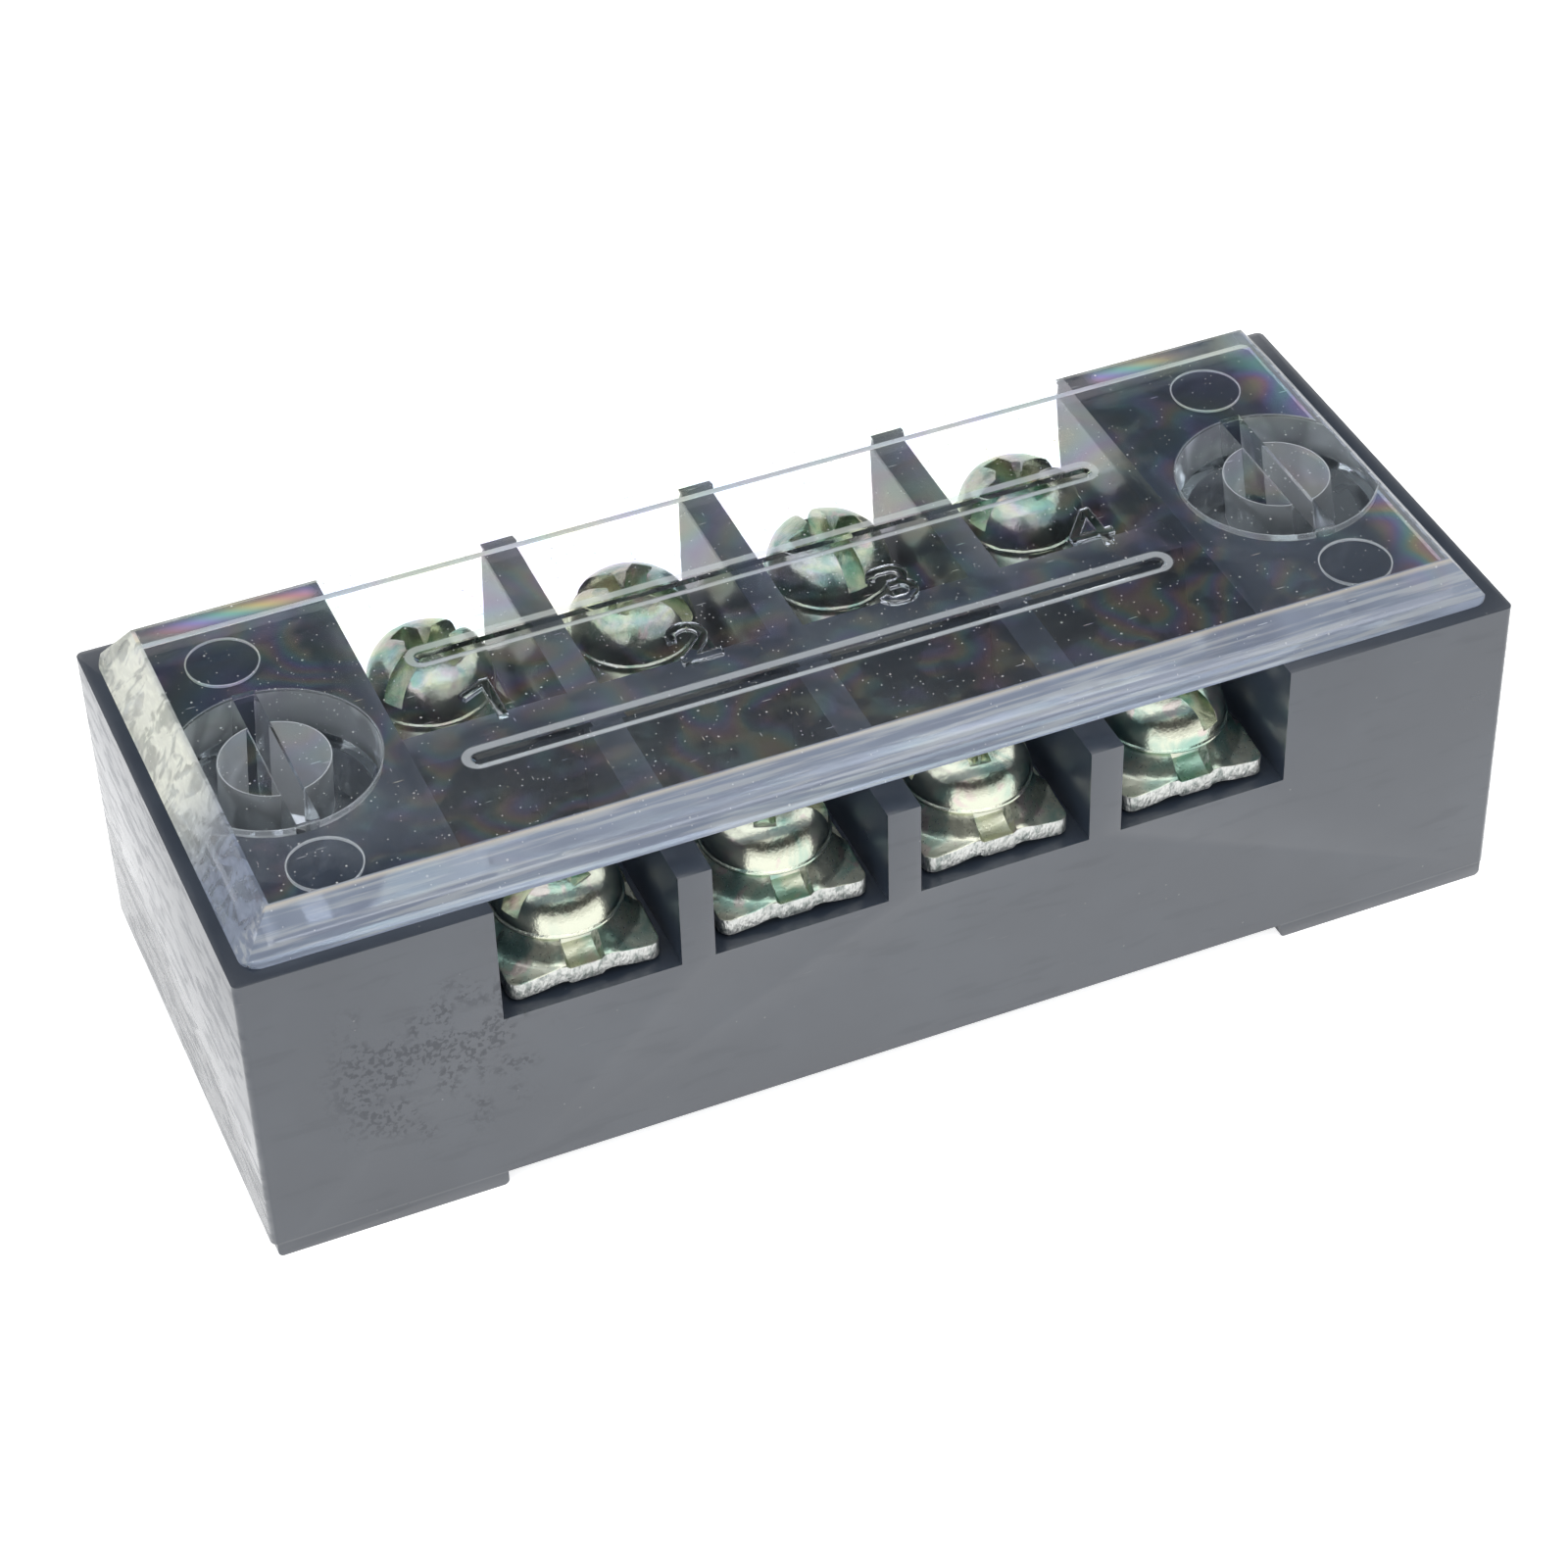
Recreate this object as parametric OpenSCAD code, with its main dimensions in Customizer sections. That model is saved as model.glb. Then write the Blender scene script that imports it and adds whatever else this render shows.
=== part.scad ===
// Four-pole barrier terminal strip with a clear press-on cover, in millimetres.
// The strip stands on its two end feet at z = 0. X runs along the row of poles, Y from the
// front (negative) to the back, and the origin is under the middle of the moulding.
// Heights of the moulding's own features are counted from its underside, above the feet.

/* [Base moulding] */
// Length of the base along the row of poles
base_l = 55; // [54:0.5:58]
// Width of the base from front to back
base_w = 22; // [21.5:0.5:24]
// Height of the base above its feet
base_h = 14; // [13.6:0.1:15]
// Radius of the base's upright corner edges
base_edge_r = 0.3; // [0.1:0.1:0.5]
// Height of the two feet
foot_h = 0.7; // [0.4:0.1:1]
// Distance from the middle to the inner edge of a foot
foot_inner = 17.55; // [17:0.05:18]
// Distance from the middle to the outer edge of a foot
foot_outer = 27.3; // [26.8:0.1:27.4]
// Radius of the feet's lower edges
foot_edge_r = 0.25; // [0.1:0.05:0.35]

/* [Poles] */
// Number of poles
poles = 4; // [2:1:4]
// Distance between the centres of neighbouring poles
pole_pitch = 8.93; // [8.8:0.01:9]
// Width of a wiring pocket between two barriers
pocket_w = 7.5; // [7:0.1:7.6]
// Height of the pockets' floor above the underside
pocket_floor = 8.33; // [8.2:0.01:8.4]
// Height of the barriers and the centre wall above the underside
barrier_h = 12.87; // [12.5:0.01:13.2]
// Thickness of the centre wall between the front and rear pockets
centre_wall_t = 1.9; // [1.5:0.1:2.2]
// Radius of the blind well under each screw
well_r = 2.4; // [2.3:0.05:2.6]
// Height of the wells' bottom above the underside
well_floor = 4; // [3.5:0.1:4.2]
// Depth of the shallow core-outs in the underside
core_out_depth = 1.8; // [1:0.1:2.2]

/* [Contact bars] */
// Width of a contact bar
bar_w = 5.6; // [5.4:0.1:6]
// Thickness of a contact bar
bar_t = 0.8; // [0.7:0.05:0.9]
// Length of a contact bar from front to back
bar_l = 19.8; // [19:0.1:20.4]
// Height of a bar's top face above the pocket floor
bar_proud = 0.12; // [0.1:0.01:0.2]
// Play between a bar and its groove
bar_play = 0.05; // [0.03:0.01:0.1]
// Outer radius of the tapped collars drawn down from a bar
collar_r = 2.1; // [2:0.05:2.2]
// Height of the tapped collars under a bar
collar_h = 1.2; // [1:0.1:1.5]

/* [Mounting] */
// Distance between the two mounting holes
mount_spacing = 44.4; // [44.2:0.1:44.6]
// Radius of the mounting holes
mount_hole_r = 2.2; // [1.8:0.05:2.2]
// Radius of the counterbore above each mounting hole
counterbore_r = 4.3; // [4.28:0.01:4.32]
// Height of the counterbores' floor above the underside
counterbore_floor = 5; // [4:0.5:6]

/* [Clear cover] */
// Length of the cover's lower outline
cover_l = 53.7; // [53:0.1:54]
// Width of the cover's lower outline
cover_w = 20.7; // [20:0.1:21]
// Thickness of the cover
cover_t = 1.85; // [1.6:0.05:2]
// How far the end bevels reach in at the top
bevel_x = 1.45; // [1:0.05:1.8]
// How far the front and rear bevels reach in at the top
bevel_y = 1.2; // [1:0.05:1.6]
// Radius of the cover's upright corners
cover_corner_r = 0.8; // [0.4:0.1:1]
// Width of the seating land round the cover's underside
land_w = 1.3; // [1.2:0.05:1.6]
// Depth of the recess inside the land
recess_depth = 0.24; // [0.2:0.02:0.3]
// Gap between the closed cover and the base
cover_gap = 0.02; // [0.01:0.01:0.04]
// Length of the two long ribs on the cover's underside
rib_l = 30.4; // [28:0.2:31]
// Width of the ribs
rib_w = 0.7; // [0.5:0.1:0.9]
// Height of the ribs and pin marks below the recess ceiling
rib_h = 0.2; // [0.1:0.02:0.22]
// Distance from the middle to each rib
rib_y = 3.43; // [3:0.01:3.6]
// Radius of the four round moulding-pin marks
pin_mark_r = 1.5; // [1.3:0.1:1.6]
// Height of the pin marks below the recess ceiling
pin_mark_h = 0.06; // [0.05:0.01:0.1]
// Distance from the middle to a pin mark, along the row
pin_mark_x = 22.3; // [21.8:0.1:22.8]
// Distance from the middle to a pin mark, front to back
pin_mark_y = 6.65; // [6.4:0.05:6.9]

/* [Split sleeves] */
// Outer radius of the split sleeves that plug into the counterbores
sleeve_r = 4.25; // [4.24:0.01:4.26]
// Bore radius of the split sleeves
sleeve_bore_r = 2.28; // [2.2:0.01:2.4]
// Width of the slot that splits each sleeve
sleeve_slot_w = 0.94; // [0.8:0.02:1.1]
// Length of the sleeves below the recess ceiling
sleeve_l = 4.3; // [3.5:0.1:5]
// Length of the lead-in taper at a sleeve's open end
sleeve_lead = 0.6; // [0.4:0.1:0.8]
// Depth of the slot's trace in the recess ceiling
slot_trace = 0.25; // [0.1:0.05:0.4]

/* [Screws] */
// Distance from the middle of the base to each row of screws
screw_y = 7.15; // [7:0.05:7.2]
// Largest radius of the pan head
head_r = 2.75; // [2.6:0.05:2.8]
// Height of the pan head
head_h = 1.9; // [1.7:0.05:1.95]
// Height of the head's seat above the underside of the base
head_seat = 10.38; // [10.3:0.01:10.45]
// Radius of the head's flat crown
crown_r = 1.5; // [1.3:0.05:1.6]
// Radius of the shank
shank_r = 1.5; // [1.46:0.01:1.5]
// Length of the shank below the head
shank_l = 6; // [5.5:0.1:6]
// Width of the slot and of the cross legs
slot_w = 0.9; // [0.7:0.05:1]
// Depth of the slot and of the cross legs
slot_depth = 1.25; // [1:0.05:1.3]
// Length of the closed cross legs from tip to tip
cross_l = 3.2; // [2.8:0.1:3.4]
// Share of the head's height that its straight flank takes
flank_share = 0.42; // [0.35:0.01:0.5]
// Radius of the tapered middle of the recess, at the crown
cone_mouth_r = 1; // [0.8:0.05:1.1]
// Radius of the tapered middle at its bottom
cone_tip_r = 0.35; // [0.3:0.05:0.45]
// Depth of the tapered middle below the slot
cone_below = 0.35; // [0.2:0.05:0.4]

/* [Clamp washers] */
// Side of the square clamp washer
washer_w = 6.4; // [6:0.1:6.5]
// Radius of the washer's upright corners
washer_corner_r = 0.5; // [0.3:0.1:0.8]
// Thickness of the washer's sheet
washer_t = 0.75; // [0.7:0.05:0.8]
// Radius of the washer's hole
washer_hole_r = 1.65; // [1.6:0.05:1.75]
// Rise of the washer's plate at mid-edge above its turned-down corners
washer_arch = 0.3; // [0.2:0.05:0.4]
// Width of the four pressed ramps
ramp_w = 1.4; // [1.2:0.1:1.6]
// Drop of the pressed ramps below the collar, next to the head
ramp_drop = 0.42; // [0.3:0.02:0.5]
// Height of the gripping ridge under each ramp
ridge_h = 0.12; // [0.08:0.02:0.16]
// How far the collar's flat top stays inside the head's edge
collar_inset = 0.5; // [0.4:0.05:0.55]
// Height of the plate round the collar above the plate at mid-edge
collar_rise = 0.14; // [0.1:0.02:0.2]
// Distance from the screw's axis to the inner end of a ramp
ramp_inner_r = 2; // [1.9:0.05:2.1]
// Depth of a ramp below the plate at mid-edge
ramp_lip = 0.08; // [0.04:0.02:0.12]

/* [Hidden] */
$fn = 64;
EPS = 0.01;
FAR = 60;
function pole_x(pole) = (pole - (poles + 1) / 2) * pole_pitch;

// Heights above the floor that the feet stand on
underside_z = foot_h;
top_z = underside_z + base_h;
floor_z = underside_z + pocket_floor;
barrier_z = underside_z + barrier_h;
bar_top_z = floor_z + bar_proud;
bar_z = bar_top_z - bar_t;
cover_z = top_z + cover_gap;
ceiling_z = cover_z + recess_depth;
head_z = underside_z + head_seat;

// The pockets run from the first barrier face to the last
pocket_span = (poles - 1) * pole_pitch + pocket_w;
end_block_inner = pocket_span / 2;
// The shank turns in the tapped collar with this radial play
thread_play = 0.05;
// Play between the washer's corners and the bar, and between the collar and the head
seat_play = 0.02;
core_out_l = base_w - 5;
// Width of the bend between the washer's collar and its plate
collar_bend = 0.55;
// Length of the chamfer at the screw's tip
shank_tip = 0.4;
// Height of the small bevel under the head's rim
rim_bevel = 0.12;
// Where the washer's corners touch the bar, as a multiple of its half side
CORNER_REACH = 1.32;
// Turns of the screw slots, counted from the row, as the strip was left
FRONT_TURNS = [25, -20, -3, -66];
REAR_TURNS = [35, -40, -84, 20];

BASE_NODES = ["base_housing", "clear_cover"];
function numbered(prefix) = [for (pole = [1:poles]) str(prefix, pole)];

// Flat shapes

// Rectangle about the origin with true round corners
module round_rect(l, w, r) {
    square([l - 2 * r, w], center = true);
    square([l, w - 2 * r], center = true);
    for (sx = [-1, 1], sy = [-1, 1])
        translate([sx * (l / 2 - r), sy * (w / 2 - r)]) circle(r);
}

// Cross-section of a foot along the row, with its lower edges rounded
module foot_section() {
    w = foot_outer - foot_inner;
    translate([foot_inner, foot_edge_r]) square([w, foot_h - foot_edge_r + EPS]);
    translate([foot_inner + foot_edge_r, 0]) square([w - 2 * foot_edge_r, foot_h]);
    for (x = [foot_inner + foot_edge_r, foot_outer - foot_edge_r])
        translate([x, foot_edge_r]) circle(foot_edge_r);
}

// Slot outline along X with round ends
module round_slot(l, w) {
    square([l - w, w], center = true);
    for (sx = [-1, 1]) translate([sx * (l - w) / 2, 0]) circle(w / 2);
}

// Base moulding

// Both feet, flush with the front and rear faces
module feet() {
    for (side = [0, 1])
        mirror([side, 0, 0])
            rotate([90, 0, 0])
                linear_extrude(base_w, center = true) foot_section();
}

// Room of one pole: the two wiring pockets, the bar's groove and the two screw wells
module pole_room() {
    for (side = [0, 1]) mirror([0, side, 0]) {
        translate([-pocket_w / 2, centre_wall_t / 2, floor_z]) cube([pocket_w, base_w, FAR]);
        translate([0, screw_y, underside_z + well_floor]) cylinder(h = FAR, r = well_r);
    }
    groove_w = bar_w + 2 * bar_play;
    groove_l = bar_l + 2 * bar_play;
    translate([-groove_w / 2, -groove_l / 2, bar_z]) cube([groove_w, groove_l, bar_t + bar_play]);
    translate([-pocket_w / 2, -core_out_l / 2, -EPS])
        cube([pocket_w, core_out_l, underside_z + core_out_depth]);
}

// Through hole and counterbore of one mounting point
module mounting_room() {
    translate([0, 0, -EPS]) cylinder(h = FAR, r = mount_hole_r);
    translate([0, 0, underside_z + counterbore_floor]) cylinder(h = FAR, r = counterbore_r);
}

module base_housing() {
    color("#3a3f46")
    difference() {
        union() {
            translate([0, 0, underside_z])
                linear_extrude(base_h) round_rect(base_l, base_w, base_edge_r);
            feet();
        }
        translate([-end_block_inner, -base_w, barrier_z]) cube([pocket_span, 2 * base_w, FAR]);
        for (pole = [1:poles]) translate([pole_x(pole), 0, 0]) pole_room();
        for (side = [-1, 1]) translate([side * mount_spacing / 2, 0, 0]) mounting_room();
    }
}

// Contact bars

module contact_bar(pole) {
    color("#b9a56b")
    translate([pole_x(pole), 0, 0])
    difference() {
        union() {
            translate([-bar_w / 2, -bar_l / 2, bar_z]) cube([bar_w, bar_l, bar_t]);
            for (side = [-1, 1])
                translate([0, side * screw_y, bar_z - collar_h])
                    cylinder(h = collar_h + EPS, r = collar_r);
        }
        for (side = [-1, 1])
            translate([0, side * screw_y, 0]) cylinder(h = FAR, r = shank_r + thread_play);
    }
}

// Clear cover

// Wedge that trims one long edge of the cover to its bevel
module bevel_trim(half, reach, l) {
    slope = atan2(reach, cover_t);
    translate([0, half, cover_z])
        rotate([slope, 0, 0])
            translate([-l, 0, -FAR / 2]) cube([2 * l, FAR, FAR]);
}

module cover_slab() {
    difference() {
        translate([0, 0, cover_z]) linear_extrude(cover_t) round_rect(cover_l, cover_w, cover_corner_r);
        for (side = [0, 1]) {
            mirror([0, side, 0]) bevel_trim(cover_w / 2, bevel_y, cover_l);
            mirror([side, 0, 0]) rotate([0, 0, 90]) mirror([0, 1, 0])
                bevel_trim(cover_l / 2, bevel_x, cover_l);
        }
        translate([0, 0, cover_z - EPS])
            linear_extrude(recess_depth + EPS)
                round_rect(cover_l - 2 * land_w, cover_w - 2 * land_w, cover_corner_r / 2);
    }
}

// Split sleeve that hangs from the ceiling, with a lead-in taper at its open end
module split_sleeve() {
    translate([0, 0, ceiling_z - sleeve_l])
    rotate_extrude()
    polygon([
        [sleeve_bore_r, 0],
        [sleeve_r - sleeve_lead / 2, 0],
        [sleeve_r, sleeve_lead],
        [sleeve_r, sleeve_l + EPS],
        [sleeve_bore_r, sleeve_l + EPS]
    ]);
}

module clear_cover() {
    color([0.85, 0.92, 0.97, 0.35])
    difference() {
        union() {
            cover_slab();
            for (side = [-1, 1]) {
                translate([side * mount_spacing / 2, 0, 0]) split_sleeve();
                translate([0, side * rib_y, ceiling_z - rib_h])
                    linear_extrude(rib_h + EPS) round_slot(rib_l, rib_w);
            }
            for (sx = [-1, 1], sy = [-1, 1])
                translate([sx * pin_mark_x, sy * pin_mark_y, ceiling_z - pin_mark_h])
                    cylinder(h = pin_mark_h + EPS, r = pin_mark_r);
        }
        for (side = [-1, 1])
            translate([side * mount_spacing / 2 - sleeve_slot_w / 2, -sleeve_r, ceiling_z + slot_trace - FAR])
                cube([sleeve_slot_w, 2 * sleeve_r, FAR]);
    }
}

// Clamp washers

// Section of the pressed sheet from the hole to past the corners. The collar stands under the
// head, the plate slopes to mid-edge, and the corners turn down on the bar.
module washer_section() {
    edge_r = washer_w / 2;
    foot_r = edge_r * CORNER_REACH;
    edge_top = washer_t + washer_arch;
    plate_top = edge_top + collar_rise;
    collar_top = head_z - bar_top_z - 2 * seat_play;
    collar_edge_r = head_r - collar_inset;
    top = [
        [washer_hole_r, collar_top],
        [collar_edge_r, collar_top],
        [collar_edge_r + collar_bend / 2, collar_top - collar_bend / 3],
        [collar_edge_r + collar_bend, plate_top],
        [edge_r, edge_top],
        [foot_r, washer_t],
        [edge_r * 2, washer_t]
    ];
    bottom = [
        [edge_r * 2, 0],
        [foot_r, 0],
        [edge_r, edge_top - washer_t],
        [collar_edge_r + collar_bend / 4, plate_top - washer_t],
        [collar_edge_r - collar_bend / 2, collar_top - washer_t],
        [washer_hole_r, collar_top - washer_t]
    ];
    polygon(concat(top, bottom));
}

module washer_dome() {
    rotate_extrude() washer_section();
}

// Wedge that presses one ramp into the collar, level with the plate at mid-edge
module ramp_cut() {
    lip_top = washer_t + washer_arch - ramp_lip;
    collar_top = head_z - bar_top_z;
    rotate([90, 0, 90])
        linear_extrude(ramp_w, center = true)
            polygon([
                [ramp_inner_r, collar_top - ramp_drop],
                [washer_w / 2 + EPS, lip_top],
                [washer_w, lip_top],
                [washer_w, collar_top + washer_t],
                [ramp_inner_r, collar_top + washer_t]
            ]);
}

module pressed_washer() {
    ridge_w = ramp_w + washer_t;
    intersection() {
        difference() {
            union() {
                washer_dome();
                intersection() {
                    translate([0, 0, -ridge_h]) washer_dome();
                    union() {
                        cube([ridge_w, FAR, FAR], center = true);
                        cube([FAR, ridge_w, FAR], center = true);
                    }
                }
            }
            for (quarter = [0:3]) rotate(quarter * 90) ramp_cut();
        }
        linear_extrude(FAR) round_rect(washer_w, washer_w, washer_corner_r);
    }
}

module clamp_washer(pole, side) {
    color("#c3c9a8")
    translate([pole_x(pole), side * screw_y, bar_top_z + seat_play]) pressed_washer();
}

// Screws

// Pan head: a low rim, a bulging flank and a rounded shoulder up to the flat crown
module head_section() {
    flank_h = head_h * flank_share;
    shoulder_h = head_h - flank_h;
    run = head_r - crown_r;
    shoulder = [for (a = [0:15:90]) [crown_r + run * cos(a), flank_h + shoulder_h * sin(a)]];
    polygon(concat(
        [[0, 0], [head_r - rim_bevel, 0], [head_r - rim_bevel / 3, rim_bevel], [head_r, flank_h / 2]],
        shoulder,
        [[0, head_h]]
    ));
}

// Full-width slot crossed by two shorter closed legs, with a tapered middle
module drive_recess() {
    slot_z = head_h - slot_depth;
    translate([-head_r - EPS, -slot_w / 2, slot_z]) cube([2 * (head_r + EPS), slot_w, FAR]);
    translate([-slot_w / 2, -cross_l / 2, slot_z]) cube([slot_w, cross_l, FAR]);
    translate([0, 0, slot_z - cone_below])
        cylinder(h = slot_depth + cone_below + EPS, r1 = cone_tip_r, r2 = cone_mouth_r);
}

module terminal_screw(pole, side, turn) {
    color("#c9cfae")
    translate([pole_x(pole), side * screw_y, head_z])
    rotate(turn)
    difference() {
        union() {
            rotate_extrude() head_section();
            translate([0, 0, shank_tip - shank_l]) cylinder(h = shank_l - shank_tip + EPS, r = shank_r);
            translate([0, 0, -shank_l]) cylinder(h = shank_tip, r1 = shank_r - shank_tip, r2 = shank_r);
        }
        drive_recess();
    }
}

base_housing();
clear_cover();
for (pole = [1:poles]) {
    contact_bar(pole);
    clamp_washer(pole, -1);
    clamp_washer(pole, 1);
    terminal_screw(pole, -1, FRONT_TURNS[pole - 1]);
    terminal_screw(pole, 1, REAR_TURNS[pole - 1]);
}
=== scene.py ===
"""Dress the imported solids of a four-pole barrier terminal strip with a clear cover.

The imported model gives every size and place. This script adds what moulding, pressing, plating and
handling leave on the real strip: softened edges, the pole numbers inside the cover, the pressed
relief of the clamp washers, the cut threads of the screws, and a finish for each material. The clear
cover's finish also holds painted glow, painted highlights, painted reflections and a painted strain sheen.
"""
import logging
import math
from collections.abc import Callable, Iterable
from dataclasses import dataclass, field
from enum import Enum
from typing import Any, NamedTuple

import bmesh
import bpy
from mathutils import Matrix, Vector


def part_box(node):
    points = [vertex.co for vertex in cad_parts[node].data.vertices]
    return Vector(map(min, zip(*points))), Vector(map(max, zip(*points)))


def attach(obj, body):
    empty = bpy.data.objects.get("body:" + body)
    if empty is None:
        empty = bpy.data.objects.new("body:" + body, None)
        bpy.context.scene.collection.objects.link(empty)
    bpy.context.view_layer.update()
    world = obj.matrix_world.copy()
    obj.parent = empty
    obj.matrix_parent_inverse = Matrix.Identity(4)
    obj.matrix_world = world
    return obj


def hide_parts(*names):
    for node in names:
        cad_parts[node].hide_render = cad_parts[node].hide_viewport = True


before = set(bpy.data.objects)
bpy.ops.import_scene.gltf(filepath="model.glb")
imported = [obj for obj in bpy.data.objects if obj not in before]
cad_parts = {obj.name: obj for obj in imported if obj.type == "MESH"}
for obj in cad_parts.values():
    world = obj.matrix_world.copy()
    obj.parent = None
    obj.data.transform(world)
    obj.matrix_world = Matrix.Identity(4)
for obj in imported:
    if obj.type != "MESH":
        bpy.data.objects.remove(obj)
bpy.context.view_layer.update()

LOG = logging.getLogger("terminal_strip")
MM = 0.001
WELD = 0.000002
SLACK = 0.01
NOISE_MEAN = 0.5
FLAT_ANGLE = math.radians(1)
CREASE_ANGLE = math.radians(25)
POLES = 4
ORIGIN = (0, 0, 0)
UP = (0, 0, 1)
EVEN = (1, 1, 1)
WHITE = (1, 1, 1)
# A span is where a mask is 0 and where it is 1. A peak is where it is 1 and how far it reaches.
Colour = tuple[float, float, float]
Span = tuple[float, float]
Peak = tuple[float, float]
Stops = tuple[tuple[float, Colour], ...]
Mesh = bmesh.types.BMesh
Vertex = bmesh.types.BMVert
Socket = bpy.types.NodeSocket
Material = bpy.types.Material


class Row(Enum):
    """The two rows of screws."""

    FRONT = "front"
    REAR = "rear"


class Cut(Enum):
    """How a tool shape changes the shape that it meets."""

    TAKE_AWAY = "DIFFERENCE"
    JOIN = "UNION"


def place(x: float, y: float, z: float) -> Vector:
    """Turn a place in millimetres into a vector in metres."""
    return Vector((x, y, z)) * MM


# Shader maths


class Noise(NamedTuple):
    """A Noise Texture: lumps in a millimetre, finer layers, swirl, how it lies, and its span as a mask."""

    scale: float
    detail: float = 2
    distortion: float = 0
    stretch: Colour = EVEN
    turn_deg: Colour = ORIGIN
    span: Span = (0, 1)


class Specks(NamedTuple):
    """Scattered marks: cells in a millimetre, a mark's radius in cells, and the share of cells with one."""

    scale: float
    radius: float
    share: float
    stretch: Colour = EVEN
    turn_deg: Colour = ORIGIN


class Relief(NamedTuple):
    """A bump: the share of it that shows, and the height in millimetres that 1 stands for."""

    strength: float
    distance_mm: float


class Effect(NamedTuple):
    """How far a mark changes the colour, the roughness, the coat and the height under it."""

    colour: float = 0
    rough: float = 0
    coat: float = 0
    height: float = 0


class Region(NamedTuple):
    """A part of a piece with soft edges: the spans that x, y and z cross into it, in millimetres."""

    x: tuple[Span, ...] = ()
    y: tuple[Span, ...] = ()
    z: tuple[Span, ...] = ()


class Value:
    """A number that leaves a node, on which Python's operators add Math nodes."""

    def __init__(self, graph: "Graph", socket: Socket) -> None:
        """Wrap one output socket of a graph."""
        self.graph = graph
        self.socket = socket

    def math(self, operation: str, *others: "Value | float") -> "Value":
        """Add a Math node of that operation, with this number first."""
        inputs = dict(enumerate((self, *others)))
        return Value(self.graph, self.graph.node("ShaderNodeMath", {"operation": operation}, inputs).outputs[0])

    def __add__(self, other: "Value | float") -> "Value":
        """Sum."""
        return self.math("ADD", other)

    def __sub__(self, other: "Value | float") -> "Value":
        """Difference."""
        return self.math("SUBTRACT", other)

    def __rsub__(self, other: float) -> "Value":
        """Difference with the number first."""
        return self.math("MULTIPLY_ADD", -1, other)

    def __mul__(self, other: "Value | float") -> "Value":
        """Product."""
        return self.math("MULTIPLY", other)

    __radd__ = __add__
    __rmul__ = __mul__

    def most(self, other: "Value | float | Socket") -> "Value":
        """Return the larger of two numbers."""
        return self.math("MAXIMUM", other)

    def size(self) -> "Value":
        """Return this number without its sign."""
        return self.math("ABSOLUTE")

    def between(self, low: float, high: float) -> "Value":
        """Run smoothly from 0 at low to 1 at high, or down where low is the larger.

        Args:
            low: Where the result is 0.
            high: Where the result is 1.

        Returns:
            The wrapped result, between 0 and 1.
        """
        node = self.graph.node(
            "ShaderNodeMapRange",
            {"interpolation_type": "SMOOTHSTEP"},
            {"Value": self, "From Min": low, "From Max": high},
        )
        return Value(self.graph, node.outputs["Result"])

    def near(self, centre: float, reach: float) -> "Value":
        """Return 1 where this number is at centre, falling smoothly to 0 at reach from it."""
        return (self - centre).size().between(reach, 0)

    def across(self, other: "Value") -> "Value":
        """Return the distance that this number and another make at a right angle."""
        return (self * self + other * other).math("SQRT")


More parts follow.
